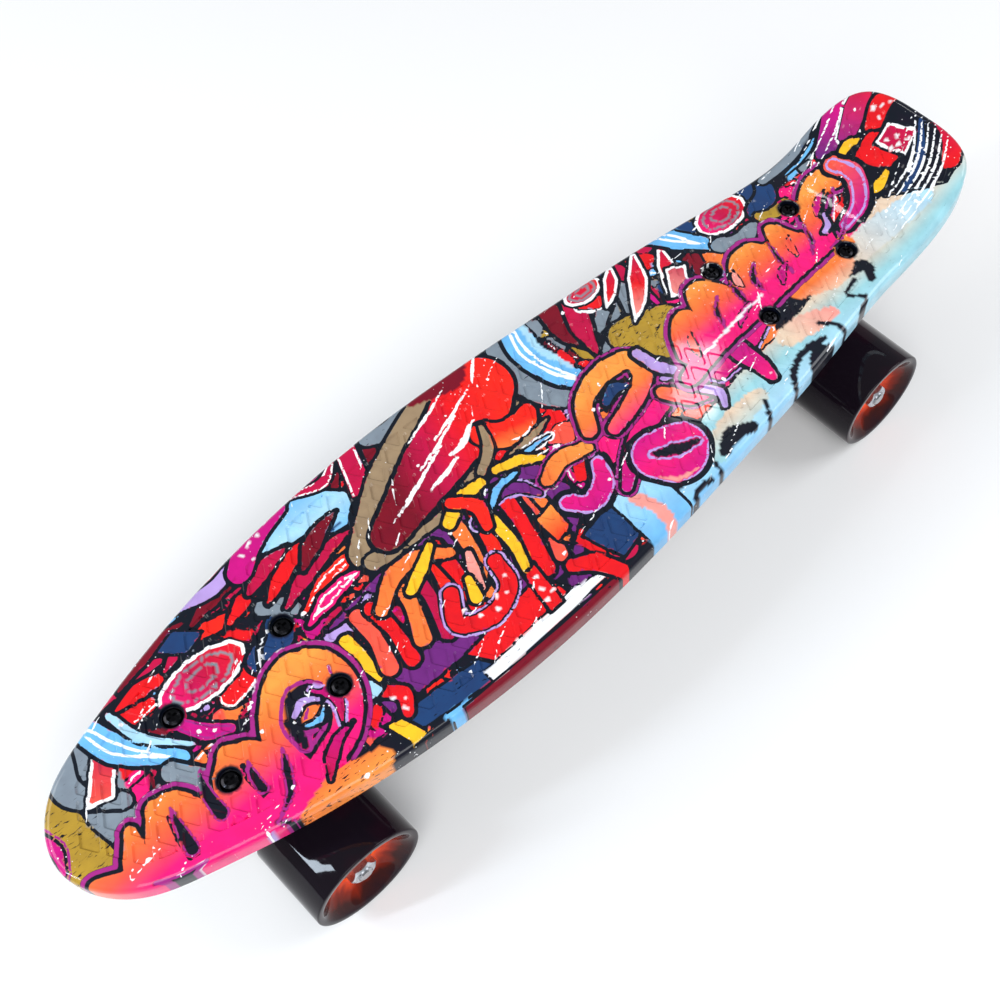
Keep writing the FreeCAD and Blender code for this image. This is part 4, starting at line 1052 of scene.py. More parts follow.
def paint_tail(film):
    """Dark raised tail with red and purple bands, spots and brushed streaks."""
    film.patch([(236, 60), (290, 60), (290, -30), (262, -36), (240, -14)], INK, 1.0, speckle=0.3)
    film.band([(196, 54), (226, 50), (262, 58)], (4, 5, 5), CRIMSON, 1.3)
    film.band([(206, 44), (232, 44), (256, 50)], (3, 3.6, 2.5), GREY, 1.2, speckle=0.4)
    film.band([(214, 38), (236, 38), (262, 46)], (0.8, 1.4, 0.8), SKY, 1.0)
    film.band([(242, 30), (258, 38), (276, 50)], (6, 8, 6),
              fade((240, 30), (280, 50), PURPLE, MAGENTA, RED), 1.6)
    film.band([(254, 26), (268, 32), (282, 38)], (5, 7, 5), fade((250, 26), (284, 38), VIOLET, RED), 1.5,
              (WHITE, 0.8, 0.7))
    film.band([(266, 18), (276, 22), (285, 20)], (5, 6, 4), RED, 1.5)
    dotted(film, [(270, 18), (275, 21), (272, 24), (279, 19)], 1.0)
    film.band([(240, 20), (250, 22), (258, 16)], (2.4, 3, 2), YELLOW, 1.4)
    film.patch([(244, 14), (260, 18), (272, 6), (268, -6), (252, -6)], RED, 1.6)
    film.patch([(258, 10), (270, 12), (276, -4), (262, -8)], CRIMSON, 1.4, (WHITE, -0.7, 0.7))
    dotted(film, [(263, 6), (267, 3), (264, -1), (269, -3), (261, 1)], 1.2)
    film.band([(236, -4), (243, -7), (250, -6)], (3, 3.6, 2), YELLOW, 1.4)
    film.band([(242, 4), (236, 10), (240, 16)], (2, 2.6, 1.6), SKY, 1.2)
    film.band([(272, -30), (282, -22), (286, -10)], (5, 6, 4),
              fade((270, -30), (286, -10), RED, CRIMSON), 1.2)
    film.band([(248, -20), (264, -16), (280, -2)], (1.8, 3.2, 1.6), DEEP_BLUE, 1.0)
    for shift in range(6):
        y = -14 - 3.6 * shift
        film.chalk_line([(240 - 3 * shift, y - 2), (262, y + 2), (283, y + 18 - shift)], (0.3, 0.8, 0.4))
    for shift in range(4):
        film.chalk_line([(224, 26 + 5 * shift), (252, 33 + 6 * shift), (276, 46 + 4 * shift)],
                        (0.2, 0.6, 0.3))


def paint_scratches(film, seed):
    """Fine pale scratches and drips scattered over the whole pattern."""
    rng = np.random.default_rng(seed)
    scratches, spots = 130, 70
    for _ in range(scratches):
        start = rng.uniform((-HALF_LENGTH, -HALF_WIDTH), (HALF_LENGTH, HALF_WIDTH))
        turn = math.radians(rng.normal(28, 16))
        length = rng.uniform(6, 26)
        end = start + length * np.array((math.cos(turn), math.sin(turn)))
        middle = (start + end) / 2 + rng.normal(0, length * 0.04, 2)
        film.chalk_line([start, middle, end], (0.15, rng.uniform(0.3, 0.55), 0.15))
    for _ in range(spots):
        spot = rng.uniform((-HALF_LENGTH, -HALF_WIDTH), (HALF_LENGTH, HALF_WIDTH))
        film.chalk_line([spot, spot + rng.normal(0, 0.6, 2)], rng.uniform(0.4, 1.0))


def paint_film(places, seed):
    """The whole pattern, from the ground up, with an ink disc round each bolt."""
    film = Film(places)
    for paint in (paint_ground, paint_nose, paint_pool, paint_front_reds, paint_middle_arcs,
                  paint_rear_reds, paint_paddle, paint_pale_edge, paint_patchwork,
                  paint_middle_blobs, paint_front_lobes, paint_tail, paint_rear_lobes):
        paint(film)
    paint_scratches(film, seed)
    for bolt in BOLTS:
        film.band([bolt, bolt + 0.1], RECESS_RADIUS + 0.4, INK, 0)
    return film


def add_values(mesh, name, kind, values):
    attribute = mesh.attributes.new(name, kind, "POINT")
    if kind == "FLOAT":
        attribute.data.foreach_set("value", np.asarray(values, np.float32))
    else:
        rows = np.column_stack((values, np.ones(len(values))))
        attribute.data.foreach_set("color", rows.astype(np.float32).ravel())


def print_film(mesh, points, seed):
    """Leaves the painted pattern on the deck's points as attributes that the finish reads."""
    film = paint_film(np.array(points)[:, :2], seed)
    add_values(mesh, "film_colour", "FLOAT_COLOR", film.fill)
    add_values(mesh, "film_trim_colour", "FLOAT_COLOR", film.trim_colour)
    add_values(mesh, "film_ink", "FLOAT", np.minimum(film.ink, LINE_LIMIT))
    add_values(mesh, "film_trim", "FLOAT", np.minimum(film.trim, LINE_LIMIT))
    add_values(mesh, "film_chalk", "FLOAT", np.minimum(film.chalk, LINE_LIMIT))
    add_values(mesh, "film_speckle", "FLOAT", film.speckle)


# ---------------------------------------------------------------- finishes

class Value:
    """A number socket that can be used in Python arithmetic."""

    def __init__(self, finish, socket):
        self.finish = finish
        self.socket = socket

    def math(self, operation, *others):
        return self.finish.node("ShaderNodeMath", {"operation": operation}, (self, *others))

    def __add__(self, other):
        return self.math("ADD", other)

    __radd__ = __add__

    def __mul__(self, other):
        return self.math("MULTIPLY", other)

    __rmul__ = __mul__

    def __sub__(self, other):
        return self.math("SUBTRACT", other)

    def __rsub__(self, other):
        return self.finish.node("ShaderNodeMath", {"operation": "SUBTRACT"}, (other, self))

    def __truediv__(self, other):
        return self.math("DIVIDE", other)

    def clamped(self):
        return self.finish.node("ShaderNodeClamp", {}, {"Value": self})


class Finish:
    """A procedural material, built node by node round one Principled shader."""

    def __init__(self, name, **constants):
        self.material = bpy.data.materials.new(name)
        self.material.use_nodes = True
        self.tree = self.material.node_tree
        self.shader = self.tree.nodes["Principled BSDF"]
        for socket, value in constants.items():
            self.shader.inputs[socket.replace("_", " ")].default_value = value

    def node(self, kind, settings, inputs, output=0):
        """One node: its settings first, then its sockets' values or links. Returns one output."""
        node = self.tree.nodes.new(kind)
        for name, value in settings.items():
            if name == "stops":
                self.set_stops(node.color_ramp, value)
            else:
                setattr(node, name, value)
        pairs = inputs.items() if isinstance(inputs, dict) else enumerate(inputs)
        for key, value in pairs:
            socket = node.inputs[key]
            source = getattr(value, "socket", value)
            if isinstance(source, bpy.types.NodeSocket):
                self.tree.links.new(source, socket)
            else:
                socket.default_value = source
        return Value(self, node.outputs[output])

    @staticmethod
    def set_stops(ramp, stops):
        while len(ramp.elements) < len(stops):
            ramp.elements.new(0.5)
        for element, (place, colour) in zip(ramp.elements, stops):
            element.position = place
            element.color = (*colour, 1)

    def feed(self, socket, value):
        self.tree.links.new(value.socket, self.shader.inputs[socket])

    def place(self, centre=(0, 0, 0)):
        """Position on the piece, measured from a centre, both in millimetres."""
        position = self.node("ShaderNodeTexCoord", {}, {}, "Object")
        return self.node("ShaderNodeMapping", {"vector_type": "POINT"}, {
            "Vector": position, "Location": [-float(value) for value in centre],
            "Scale": (1 / MM, 1 / MM, 1 / MM)})

    def stretched(self, place, scale):
        return self.node("ShaderNodeVectorMath", {"operation": "MULTIPLY"}, (place, scale))

    def noise(self, place, scale, detail=3.0, distortion=0.0):
        return self.node("ShaderNodeTexNoise", {}, {
            "Vector": place, "Scale": scale, "Detail": detail, "Distortion": distortion}, "Fac")

    def attribute(self, name, output="Fac"):
        return self.node("ShaderNodeAttribute", {"attribute_name": name}, {}, output)

    def mix(self, share, first, second):
        """Colour between two colours or colour sockets."""
        first, second = [(*c, 1) if isinstance(c, tuple) else c for c in (first, second)]
        return self.node("ShaderNodeMix", {"data_type": "RGBA"}, {0: share, 6: first, 7: second}, 2)

    def ramp(self, value, *stops):
        return self.node("ShaderNodeValToRGB", {"stops": stops}, {"Fac": value})

    def bump(self, height, strength, distance):
        normal = self.node("ShaderNodeBump", {}, {
            "Height": height, "Strength": strength, "Distance": distance * MM})
        self.feed("Normal", normal)


def film_finish():
    """Glossy printed film: painted fills, ink edges, trim lines, chalk and worn splinters."""
    finish = Finish("printed_film", Coat_Weight=0.6, Coat_Roughness=0.05, Specular_IOR_Level=0.1)
    place = finish.place()
    ragged = (finish.noise(place, 0.9, 2.0) - 0.5) * 0.5
    ink = ((1 - finish.attribute("film_ink") + ragged * 0.3) * 6 + 0.5).clamped()
    trim = ((1 - finish.attribute("film_trim") + ragged * 0.4) * 3 + 0.5).clamped()
    chalk = ((1 - finish.attribute("film_chalk") + ragged) * 3 + 0.5).clamped()
    mottled = finish.noise(place, 0.12, 4.0)
    fill = finish.mix((mottled - 0.35) * 0.5, finish.attribute("film_colour", "Color"), (0.02, 0.0, 0.02))
    splinter_place = finish.stretched(place, (0.22, 0.9, 0.5))
    splinters = finish.noise(splinter_place, 1.0, 5.0, 0.4)
    torn = ((splinters - 0.69 + finish.attribute("film_speckle") * 0.10) * 14).clamped()
    torn = torn * (finish.attribute("film_speckle") * 4).clamped()
    colour = finish.mix(torn, fill, INK)
    colour = finish.mix(ink, colour, INK)
    colour = finish.mix(trim, colour, finish.attribute("film_trim_colour", "Color"))
    colour = finish.mix(chalk, colour, WHITE)
    flecks = finish.node("ShaderNodeTexVoronoi", {"feature": "F1"}, {"Vector": place, "Scale": 0.33},
                         "Distance")
    patches = finish.noise(place, 0.03, 2.0)
    splatter = ((0.10 - flecks + (patches - 0.58) * 0.6) * 12).clamped()
    colour = finish.mix(splatter, colour, WHITE)
    finish.feed("Base Color", colour)
    finish.feed("Roughness", 0.24 + finish.noise(place, 0.35, 3.0) * 0.16)
    ripple = finish.noise(place, 0.16, 2.0) * 0.7 + finish.noise(place, 1.4, 2.0) * 0.06
    finish.bump(ripple, 0.35, 0.5)
    return finish.material


def moulded_finish(name, dark, light, grain, roughness, depth):
    """Moulded plastic or rubber: slight mottling, fine grain and uneven sheen."""
    finish = Finish(name, Specular_IOR_Level=0.45)
    place = finish.place()
    cloud = finish.noise(place, 0.08, 4.0)
    fine = finish.noise(place, grain, 3.0)
    finish.feed("Base Color", finish.mix((cloud * 0.7 + fine * 0.3), dark, light))
    finish.feed("Roughness", roughness - 0.1 + cloud * 0.2)
    finish.bump(fine, 0.6, depth)
    return finish.material


def metal_finish(name, dark, light, roughness, grain, scratches, scratch_scale=(0.2, 3.0, 0.2)):
    """Plated or ground metal with cloudy plating and fine drawn marks."""
    finish = Finish(name, Metallic=1.0)
    place = finish.place()
    cloud = finish.noise(place, grain, 4.0)
    marks = finish.noise(finish.stretched(place, scratch_scale), 3.0, 3.0)
    finish.feed("Base Color", finish.mix(cloud * 0.6 + marks * 0.4, dark, light))
    finish.feed("Roughness", roughness + (marks - 0.5) * 0.2 + (cloud - 0.5) * 0.15)
    finish.bump(marks, scratches, 0.05)
    return finish.material


def casting_finish():
    """Cast truck metal under black paint, with a sandy skin and bare edges where it rubs."""
    finish = Finish("truck_paint", Specular_IOR_Level=0.5, Coat_Weight=0.25, Coat_Roughness=0.3)
    place = finish.place()
    sand = finish.noise(place, 1.1, 4.0)
    cloud = finish.noise(place, 0.07, 4.0)
    chips = ((finish.noise(place, 0.32, 5.0, 0.6) - 0.72) * 18).clamped()
    paint = finish.mix(cloud, (0.008, 0.008, 0.010), (0.028, 0.028, 0.032))
    finish.feed("Base Color", finish.mix(chips, paint, (0.42, 0.42, 0.44)))
    finish.feed("Metallic", chips * 0.9)
    finish.feed("Roughness", 0.36 + cloud * 0.2)
    finish.bump(sand, 0.5, 0.25)
    return finish.material


def wheel_finish(name, centre, settings):
    """Smoky urethane: near-black tread, and in the dish the urethane's red under a painted glow, also
    emitted, that stands for light coming through.
    """
    # Emission Strength 0.5 makes the dish's painted glow shine, though the wheel is no lamp.
    finish = Finish(name, Coat_Weight=0.22, Coat_Roughness=0.02, Specular_IOR_Level=0.08,
                    Emission_Strength=0.5)
    place = finish.place((centre[0], 0, centre[2]))
    hub_radius, dish_width, tread_start = 9.5, 19.5, 28.2
    ahead = finish.node("ShaderNodeSeparateXYZ", {}, {"Vector": place}, "X")
    upward = finish.node("ShaderNodeSeparateXYZ", {}, {"Vector": place}, "Z")
    radius = (ahead * ahead + upward * upward).math("SQRT")
    swirl = finish.noise(finish.stretched(place, (1, 0.35, 1)), 0.085, 3.0, 0.8)
    cloud = finish.noise(place, 0.03, 2.0)
    reach = ((radius - hub_radius) / dish_width).clamped()
    # Dish colour: the urethane's red under a painted glow that is brightest at the hub and fades to the
    # tread's colour at the rim.
    dish = finish.ramp((reach + (swirl - 0.5) * 0.55).clamped(), (0.0, settings.glow_colour[:]),
                       (0.26, (0.60, 0.045, 0.006)), (0.48, (0.16, 0.012, 0.004)),
                       (0.70, (0.030, 0.006, 0.005)), (0.95, settings.tread_colour[:]))
    on_tread = ((radius - tread_start) * 1.2).clamped()
    tread = finish.mix(((cloud - 0.5) * 2.4).clamped(), settings.tread_colour[:], (0.030, 0.003, 0.010))
    colour = finish.mix(on_tread, dish, tread)
    finish.feed("Base Color", colour)
    # Painted glow: the dish emits its own colour.
    finish.feed("Emission Color", finish.mix(on_tread, dish, (0.0, 0.0, 0.0)))
    scuffs = finish.noise(finish.stretched(place, (0.4, 2.4, 0.4)), 0.5, 4.0)
    finish.feed("Roughness", 0.05 + ((scuffs - 0.55) * 0.5).clamped())
    finish.bump(finish.noise(place, 0.25, 2.0), 0.12, 0.2)
    return finish.material


def urethane_finish():
    """Soft translucent red urethane for the bushings."""
    finish = Finish("bushing_urethane", Coat_Weight=0.3, Coat_Roughness=0.2)
    place = finish.place()
    cloud = finish.noise(place, 0.1, 4.0)
    fine = finish.noise(place, 1.2, 3.0)
    finish.feed("Base Color", finish.mix(cloud, (0.30, 0.008, 0.006), (0.52, 0.03, 0.015)))
    finish.feed("Roughness", 0.32 + fine * 0.2)
    finish.bump(fine, 0.4, 0.15)
    return finish.material


def paint_node(node, material):
    """Gives a frame node a finish. Its shape stays as it is."""
    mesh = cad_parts[node].data
    mesh.materials.clear()
    mesh.materials.append(material)


# ---------------------------------------------------------------- shared piece making

def new_piece(name, mesh):
    piece = bpy.data.objects.new(name, mesh)
    bpy.context.scene.collection.objects.link(piece)
    return piece


def ring_mesh(name, profile, origin, direction, segments, material):
    """Closed turned piece from (along, radius) points about a line, in millimetres."""
    axis = Vector(direction).normalized()
    side = axis.orthogonal().normalized()
    other = axis.cross(side)
    points, faces = [], []
    for segment in range(segments):
        turn = 2 * math.pi * segment / segments
        out = side * math.cos(turn) + other * math.sin(turn)
        points.extend((Vector(origin) + axis * along + out * radius) * MM for along, radius in profile)
    count = len(profile)
    for segment in range(segments):
        here, after = segment * count, (segment + 1) % segments * count
        for index in range(count):
            following = (index + 1) % count
            faces.append((here + index, here + following, after + following, after + index))
    mesh = bpy.data.meshes.new(name)
    mesh.from_pydata(points, [], faces)
    mesh.polygons.foreach_set("use_smooth", [True] * len(faces))
    mesh.materials.append(material)
    facing_out(mesh)
    return mesh


def facing_out(mesh):
    shape = bmesh.new()
    shape.from_mesh(mesh)
    bmesh.ops.remove_doubles(shape, verts=shape.verts, dist=1e-7)
    bmesh.ops.recalc_face_normals(shape, faces=shape.faces)
    shape.to_mesh(mesh)
    shape.free()


def sharpened(mesh, degrees):
    mesh.set_sharp_from_angle(angle=math.radians(degrees))
    return mesh


def rounded_profile(corners, radius, steps=5):
    """Closed (along, radius) outline with every corner rounded, limited by its shorter side."""
    corners = [np.array(corner, float) for corner in corners]
    rounded = []
    for index, corner in enumerate(corners):
        before = corners[index - 1] - corner
        after = corners[(index + 1) % len(corners)] - corner
        reach = min(radius, 0.4 * np.linalg.norm(before), 0.4 * np.linalg.norm(after))
        start = corner + before / np.linalg.norm(before) * reach
        end = corner + after / np.linalg.norm(after) * reach
        for share in np.linspace(0, 1, steps):
            rounded.append(tuple((1 - share) ** 2 * start + 2 * share * (1 - share) * corner
                                 + share ** 2 * end))
    return rounded


def apply_modifiers(piece):
    """Turns a piece into the plain mesh that its modifiers leave."""
    graph = bpy.context.evaluated_depsgraph_get()
    mesh = bpy.data.meshes.new_from_object(piece.evaluated_get(graph))
    piece.modifiers.clear()
    piece.data = mesh


def add_modifier(piece, kind, **settings):
    modifier = piece.modifiers.new(kind.title(), kind)
    for name, value in settings.items():
        setattr(modifier, name, value)
    return modifier


def softened_casting(node, name, voxel, material, body):
    """Cast piece in the shape of a frame node, with the soft corners and fillets of a real casting."""
    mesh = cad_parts[node].data.copy()
    mesh.name = name
    facing_out(mesh)
    piece = new_piece(name, mesh)
    add_modifier(piece, "REMESH", mode="VOXEL", voxel_size=voxel * MM)
    add_modifier(piece, "SMOOTH", factor=0.5, iterations=6)
    apply_modifiers(piece)
    piece.data.materials.clear()
    piece.data.materials.append(material)
    piece.data.polygons.foreach_set("use_smooth", [True] * len(piece.data.polygons))
    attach(piece, body)
    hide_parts(node)


def thread_tree(material):
    """Geometry Nodes that lay a helical screw thread at every given place along the piece's own axis."""
    tree = bpy.data.node_groups.new("screw_thread", "GeometryNodeTree")
    sockets = tree.interface
    sockets.new_socket("Geometry", in_out="INPUT", socket_type="NodeSocketGeometry")
    for name in ("Radius", "Pitch", "Length", "Ridge"):
        sockets.new_socket(name, in_out="INPUT", socket_type="NodeSocketFloat")
    sockets.new_socket("Turn", in_out="INPUT", socket_type="NodeSocketRotation")
    sockets.new_socket("Geometry", in_out="OUTPUT", socket_type="NodeSocketGeometry")

    def node(kind, links, **settings):
        made = tree.nodes.new(kind)
        for name, value in settings.items():
            setattr(made, name, value)
        for key, source in links.items():
            if isinstance(source, bpy.types.NodeSocket):
                tree.links.new(source, made.inputs[key])
            else:
                made.inputs[key].default_value = source
        return made

    given = node("NodeGroupInput", {})
    turns = node("ShaderNodeMath", {0: given.outputs["Length"], 1: given.outputs["Pitch"]},
                 operation="DIVIDE")
    helix = node("GeometryNodeCurveSpiral", {
        "Resolution": 20, "Rotations": turns.outputs[0], "Start Radius": given.outputs["Radius"],
        "End Radius": given.outputs["Radius"], "Height": given.outputs["Length"]})
    ridge = node("GeometryNodeCurvePrimitiveCircle", {
        "Resolution": 4, "Radius": given.outputs["Ridge"]})
    thread = node("GeometryNodeCurveToMesh", {
        "Curve": helix.outputs["Curve"], "Profile Curve": ridge.outputs["Curve"], "Fill Caps": True})
    placed = node("GeometryNodeInstanceOnPoints", {
        "Points": given.outputs["Geometry"], "Instance": thread.outputs["Mesh"],
        "Rotation": given.outputs["Turn"]})
    real = node("GeometryNodeRealizeInstances", {"Geometry": placed.outputs["Instances"]})
    finished = node("GeometryNodeSetMaterial", {
        "Geometry": real.outputs["Geometry"], "Material": material})
    given_out = node("NodeGroupOutput", {})
    tree.links.new(finished.outputs["Geometry"], given_out.inputs["Geometry"])
    return tree


def set_input(modifier, name, value):
    """Sets a Geometry Nodes input by its socket's identifier."""
    for item in modifier.node_group.interface.items_tree:
        if item.item_type == "SOCKET" and item.in_out == "INPUT" and item.name == name:
            modifier[item.identifier] = value
            return
    raise ValueError(f"the tree has no input named {name}")


def threads(name, places, direction, radius, pitch, length, tree, body):
    """Screw threads, one at each place, running along a direction. They ride on one body."""
    mesh = bpy.data.meshes.new(name)
    mesh.from_pydata([Vector(place) * MM for place in places], [], [])
    piece = new_piece(name, mesh)
    modifier = add_modifier(piece, "NODES", node_group=tree)
    turn = Vector((0, 0, 1)).rotation_difference(Vector(direction)).to_euler()
    for key, value in (("Radius", radius * MM), ("Pitch", pitch * MM), ("Length", length * MM),
                       ("Ridge", pitch * THREAD_RIDGE_SHARE * MM), ("Turn", turn)):
        set_input(modifier, key, value)
    apply_modifiers(piece)
    facing_out(piece.data)
    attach(piece, body)


# ---------------------------------------------------------------- sizes and colours a user may change

class SKATEBOARD_PG_deck(bpy.types.PropertyGroup):
    pocket_pitch_along: bpy.props.FloatProperty(
        name="Pitch along", description="Distance between diamonds along the board",
        default=0.01225, min=0.006, unit="LENGTH")
    pocket_pitch_across: bpy.props.FloatProperty(
        name="Pitch across", description="Distance between diamonds across the board",
        default=0.021, min=0.010, unit="LENGTH")
    ridge_width: bpy.props.FloatProperty(
        name="Ridge width", description="Width of the grip ridges between the diamonds",
        default=0.0019, min=0.0005, unit="LENGTH")
    pocket_depth: bpy.props.FloatProperty(
        name="Pocket depth", description="How deep each diamond is pressed in",
        default=0.0009, min=0.0, unit="LENGTH")
    pocket_bevel: bpy.props.FloatProperty(
        name="Pocket bevel", description="Width of the slope round each pocket's floor",
        default=0.0007, min=0.0001, unit="LENGTH")
    border_width: bpy.props.FloatProperty(
        name="Border", description="Plain border between the outline and the first pockets",
        default=0.0105, min=0.005, unit="LENGTH")
    pattern_shift: bpy.props.FloatProperty(
        name="Pattern shift", description="Where the middle ridge crossing lies along the board",
        default=-0.00475, unit="LENGTH")
    film_detail: bpy.props.FloatProperty(
        name="Film detail", description="Distance between the points that hold the printed pattern",
        default=0.00138, min=0.0008, unit="LENGTH")
    film_seed: bpy.props.IntProperty(
        name="Scratch seed", description="Seed of the scattered scratches and dots", default=7)


class SKATEBOARD_PG_wheels(bpy.types.PropertyGroup):
    tread_colour: bpy.props.FloatVectorProperty(
        name="Tread", description="Colour of the tread", subtype="COLOR", size=3,
        default=(0.008, 0.005, 0.009), min=0, max=1)
    glow_colour: bpy.props.FloatVectorProperty(
        name="Glow", description="Colour of the light inside the dish", subtype="COLOR", size=3,
        default=(0.95, 0.12, 0.02), min=0, max=1)
    segments: bpy.props.IntProperty(
        name="Segments", description="Facets round each wheel", default=160, min=24)


class SKATEBOARD_PG_stage(bpy.types.PropertyGroup):
    floor_colour: bpy.props.FloatVectorProperty(
        name="Floor", description="Colour of the floor", subtype="COLOR", size=3,
        default=(0.90, 0.90, 0.90), min=0, max=1)
    lens: bpy.props.FloatProperty(
        name="Lens", description="Focal length of the camera in millimetres", default=49.56, min=10)
    key_power: bpy.props.FloatProperty(
        name="Main light", description="Power of the main soft light", default=22.0, min=0, unit="POWER")


# ---------------------------------------------------------------- the pieces

class SKATEBOARD_OT_stage(bpy.types.Operator):
    """Floor, soft lights, pale surroundings and the camera"""
    bl_idname = "skateboard.stage"
    bl_label = "Stage"

    def execute(self, context):
        settings = context.scene.cruiser_stage
        self.make_floor(settings)
        self.make_world(context)
        self.make_camera(context, settings)
        self.make_lights(settings)
        context.scene.view_settings.view_transform = "Standard"
        return {"FINISHED"}

    @staticmethod
    def make_floor(settings):
        finish = Finish("studio_floor", Specular_IOR_Level=0.2)
        cloud = finish.noise(finish.place(), 0.004, 2.0)
        pale = settings.floor_colour[:]
        finish.feed("Base Color", finish.mix(cloud, tuple(part * 0.985 for part in pale), pale))
        finish.feed("Roughness", 0.8 + cloud * 0.1)
        half = 6.0
        mesh = bpy.data.meshes.new("floor")
        mesh.from_pydata([(-half, -half, 0), (half, -half, 0), (half, half, 0), (-half, half, 0)], [],
                         [(0, 1, 2, 3)])
        mesh.materials.append(finish.material)
        new_piece("floor", mesh)

    @staticmethod
    def make_world(context):
        world = bpy.data.worlds.new("studio")
        world.use_nodes = True
        background = world.node_tree.nodes["Background"]
        background.inputs["Color"].default_value = (0.93, 0.96, 1.0, 1)
        background.inputs["Strength"].default_value = 0.32
        context.scene.world = world

    @staticmethod
    def make_camera(context, settings):
        data = bpy.data.cameras.new("camera")
        data.lens = settings.lens
        data.sensor_width = 36
        data.shift_x = -0.1297
        data.shift_y = 0.0238
        camera = new_piece("camera", data)
        right = Vector((0.70013, -0.71399, 0.00558))
        up = Vector((0.6229, 0.61459, 0.48402))
        turn = Matrix((right, up, right.cross(up))).transposed()
        camera.matrix_world = Matrix.Translation((-0.2282, -0.2748, 0.6706)) @ turn.to_4x4()
        context.scene.camera = camera

    @staticmethod
    def make_lights(settings):
        def soft_light(name, place, aim, size, power, colour):
            data = bpy.data.lights.new(name, "AREA")
            data.shape = "RECTANGLE"
            data.size, data.size_y = size
            data.energy = power
            data.color = colour
            light = new_piece(name, data)
            light.location = place
            light.rotation_mode = "QUATERNION"
            light.rotation_quaternion = (Vector(aim) - Vector(place)).to_track_quat("-Z", "Y")

        key = settings.key_power
        soft_light("main_light", (-0.7, -1.0, 1.5), (0, 0, 0), (1.4, 1.1), key, (1, 1, 1))
        soft_light("side_light", (1.3, -0.7, 1.1), (0, 0, 0), (0.9, 0.9), key * 0.6, (0.95, 0.97, 1.0))
        soft_light("far_light", (-1.0, 1.0, 1.0), (0, 0, 0), (1.0, 0.8), key * 0.5, (1.0, 0.98, 0.95))
        soft_light("strip_light", (-1.2, 0.35, 0.85), (-0.2, 0, 0.03), (0.08, 0.7), 6.5, (0.75, 0.87, 1.0))
        soft_light("window_light", (0.60, 0.40, 1.05), (0.1, -0.02, 0.1), (0.06, 0.10), 0.32, (1, 1, 1))


class SKATEBOARD_OT_deck(bpy.types.Operator):
    """Printed plastic deck with its waffle grip and ribbed underside"""
    bl_idname = "skateboard.deck"
    bl_label = "Deck"

    def execute(self, context):
        settings = context.scene.cruiser_deck
        shell = deck_shell(settings)
        bare = moulded_finish("bare_plastic", (0.010, 0.010, 0.012), (0.026, 0.026, 0.030), 2.2, 0.46, 0.12)
        mesh = shell.build("printed_deck", (film_finish(), bare))
        print_film(mesh, shell.points, settings.film_seed)
        sharpened(mesh, 38)
        deck = new_piece("printed_deck", mesh)
        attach(deck, "deck")
        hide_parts("deck")
        return {"FINISHED"}


def axle_centre(end):
    """Middle of an axle, in millimetres, read from the frame."""
    low, high = box_mm(f"{end}_axle")
    return (low + high) / 2


class SKATEBOARD_OT_wheels(bpy.types.Operator):
    """Four smoky urethane wheels with dished faces"""
    bl_idname = "skateboard.wheels"
    bl_label = "Wheels"

    def execute(self, context):
        settings = context.scene.cruiser_wheels
        for end in ENDS:
            centre = axle_centre(end)
            material = wheel_finish(f"{end}_wheel_urethane", centre, settings)
            for side in SIDES:
                self.make_wheel(f"{end}_{side}", centre, material, settings.segments)
        return {"FINISHED"}

    @staticmethod
    def make_wheel(place, centre, material, segments):
        low, high = box_mm(f"{place}_wheel")
        race_low, race_high = box_mm(f"{place}_bearing_outer_races")
        radius = (high[2] - low[2]) / 2
        tread_low, tread_high = low[1], high[1]
        seat_low, seat_high = race_low[1], race_high[1]
        seat_radius = (race_high[2] - race_low[2]) / 2
        race_width = 7.0
        lip, lip_steps, edge_line = 0.8, 5, 0.35
        dish_radius, floor_radius, core_radius, face_line = 26.4, 12.7, 9.4, 0.7
        dish_steps, dish_steepness = 12, 1.15
        edge = []
        for step in range(lip_steps + 1):
            turn = step / lip_steps * math.pi / 2
            edge.append((lip * (1 - math.cos(turn)), radius - lip * (1 - math.sin(turn))))
        dish = []
        for share in np.linspace(0, 1, dish_steps):
            sink = math.sin(share * math.pi / 2) ** dish_steepness
            dish.append((edge_line, dish_radius + (floor_radius - dish_radius) * share, sink))
        profile = []
        for along, out, sink in reversed(dish):
            profile.append((tread_low + along + (seat_low - tread_low - along) * sink, out))
        profile.append((tread_low, dish_radius + face_line))
        profile.extend((tread_low + along, out) for along, out in edge)
        profile.extend((tread_low + (tread_high - tread_low) * share, radius)
                       for share in (0.25, 0.5, 0.75))
        profile.extend((tread_high - along, out) for along, out in reversed(edge))
        profile.append((tread_high, dish_radius + face_line))
        for along, out, sink in dish:
            profile.append((tread_high - along - (tread_high - along - seat_high) * sink, out))
        profile.extend(((seat_high, seat_radius), (seat_high - race_width, seat_radius),
                        (seat_high - race_width, core_radius), (seat_low + race_width, core_radius),
                        (seat_low + race_width, seat_radius), (seat_low, seat_radius)))
        mesh = ring_mesh(f"{place}_urethane", profile, (centre[0], 0, centre[2]), (0, 1, 0), segments,
                         material)
        wheel = new_piece(f"{place}_urethane", sharpened(mesh, 50))
        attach(wheel, f"{place}_wheel")
        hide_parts(f"{place}_wheel")


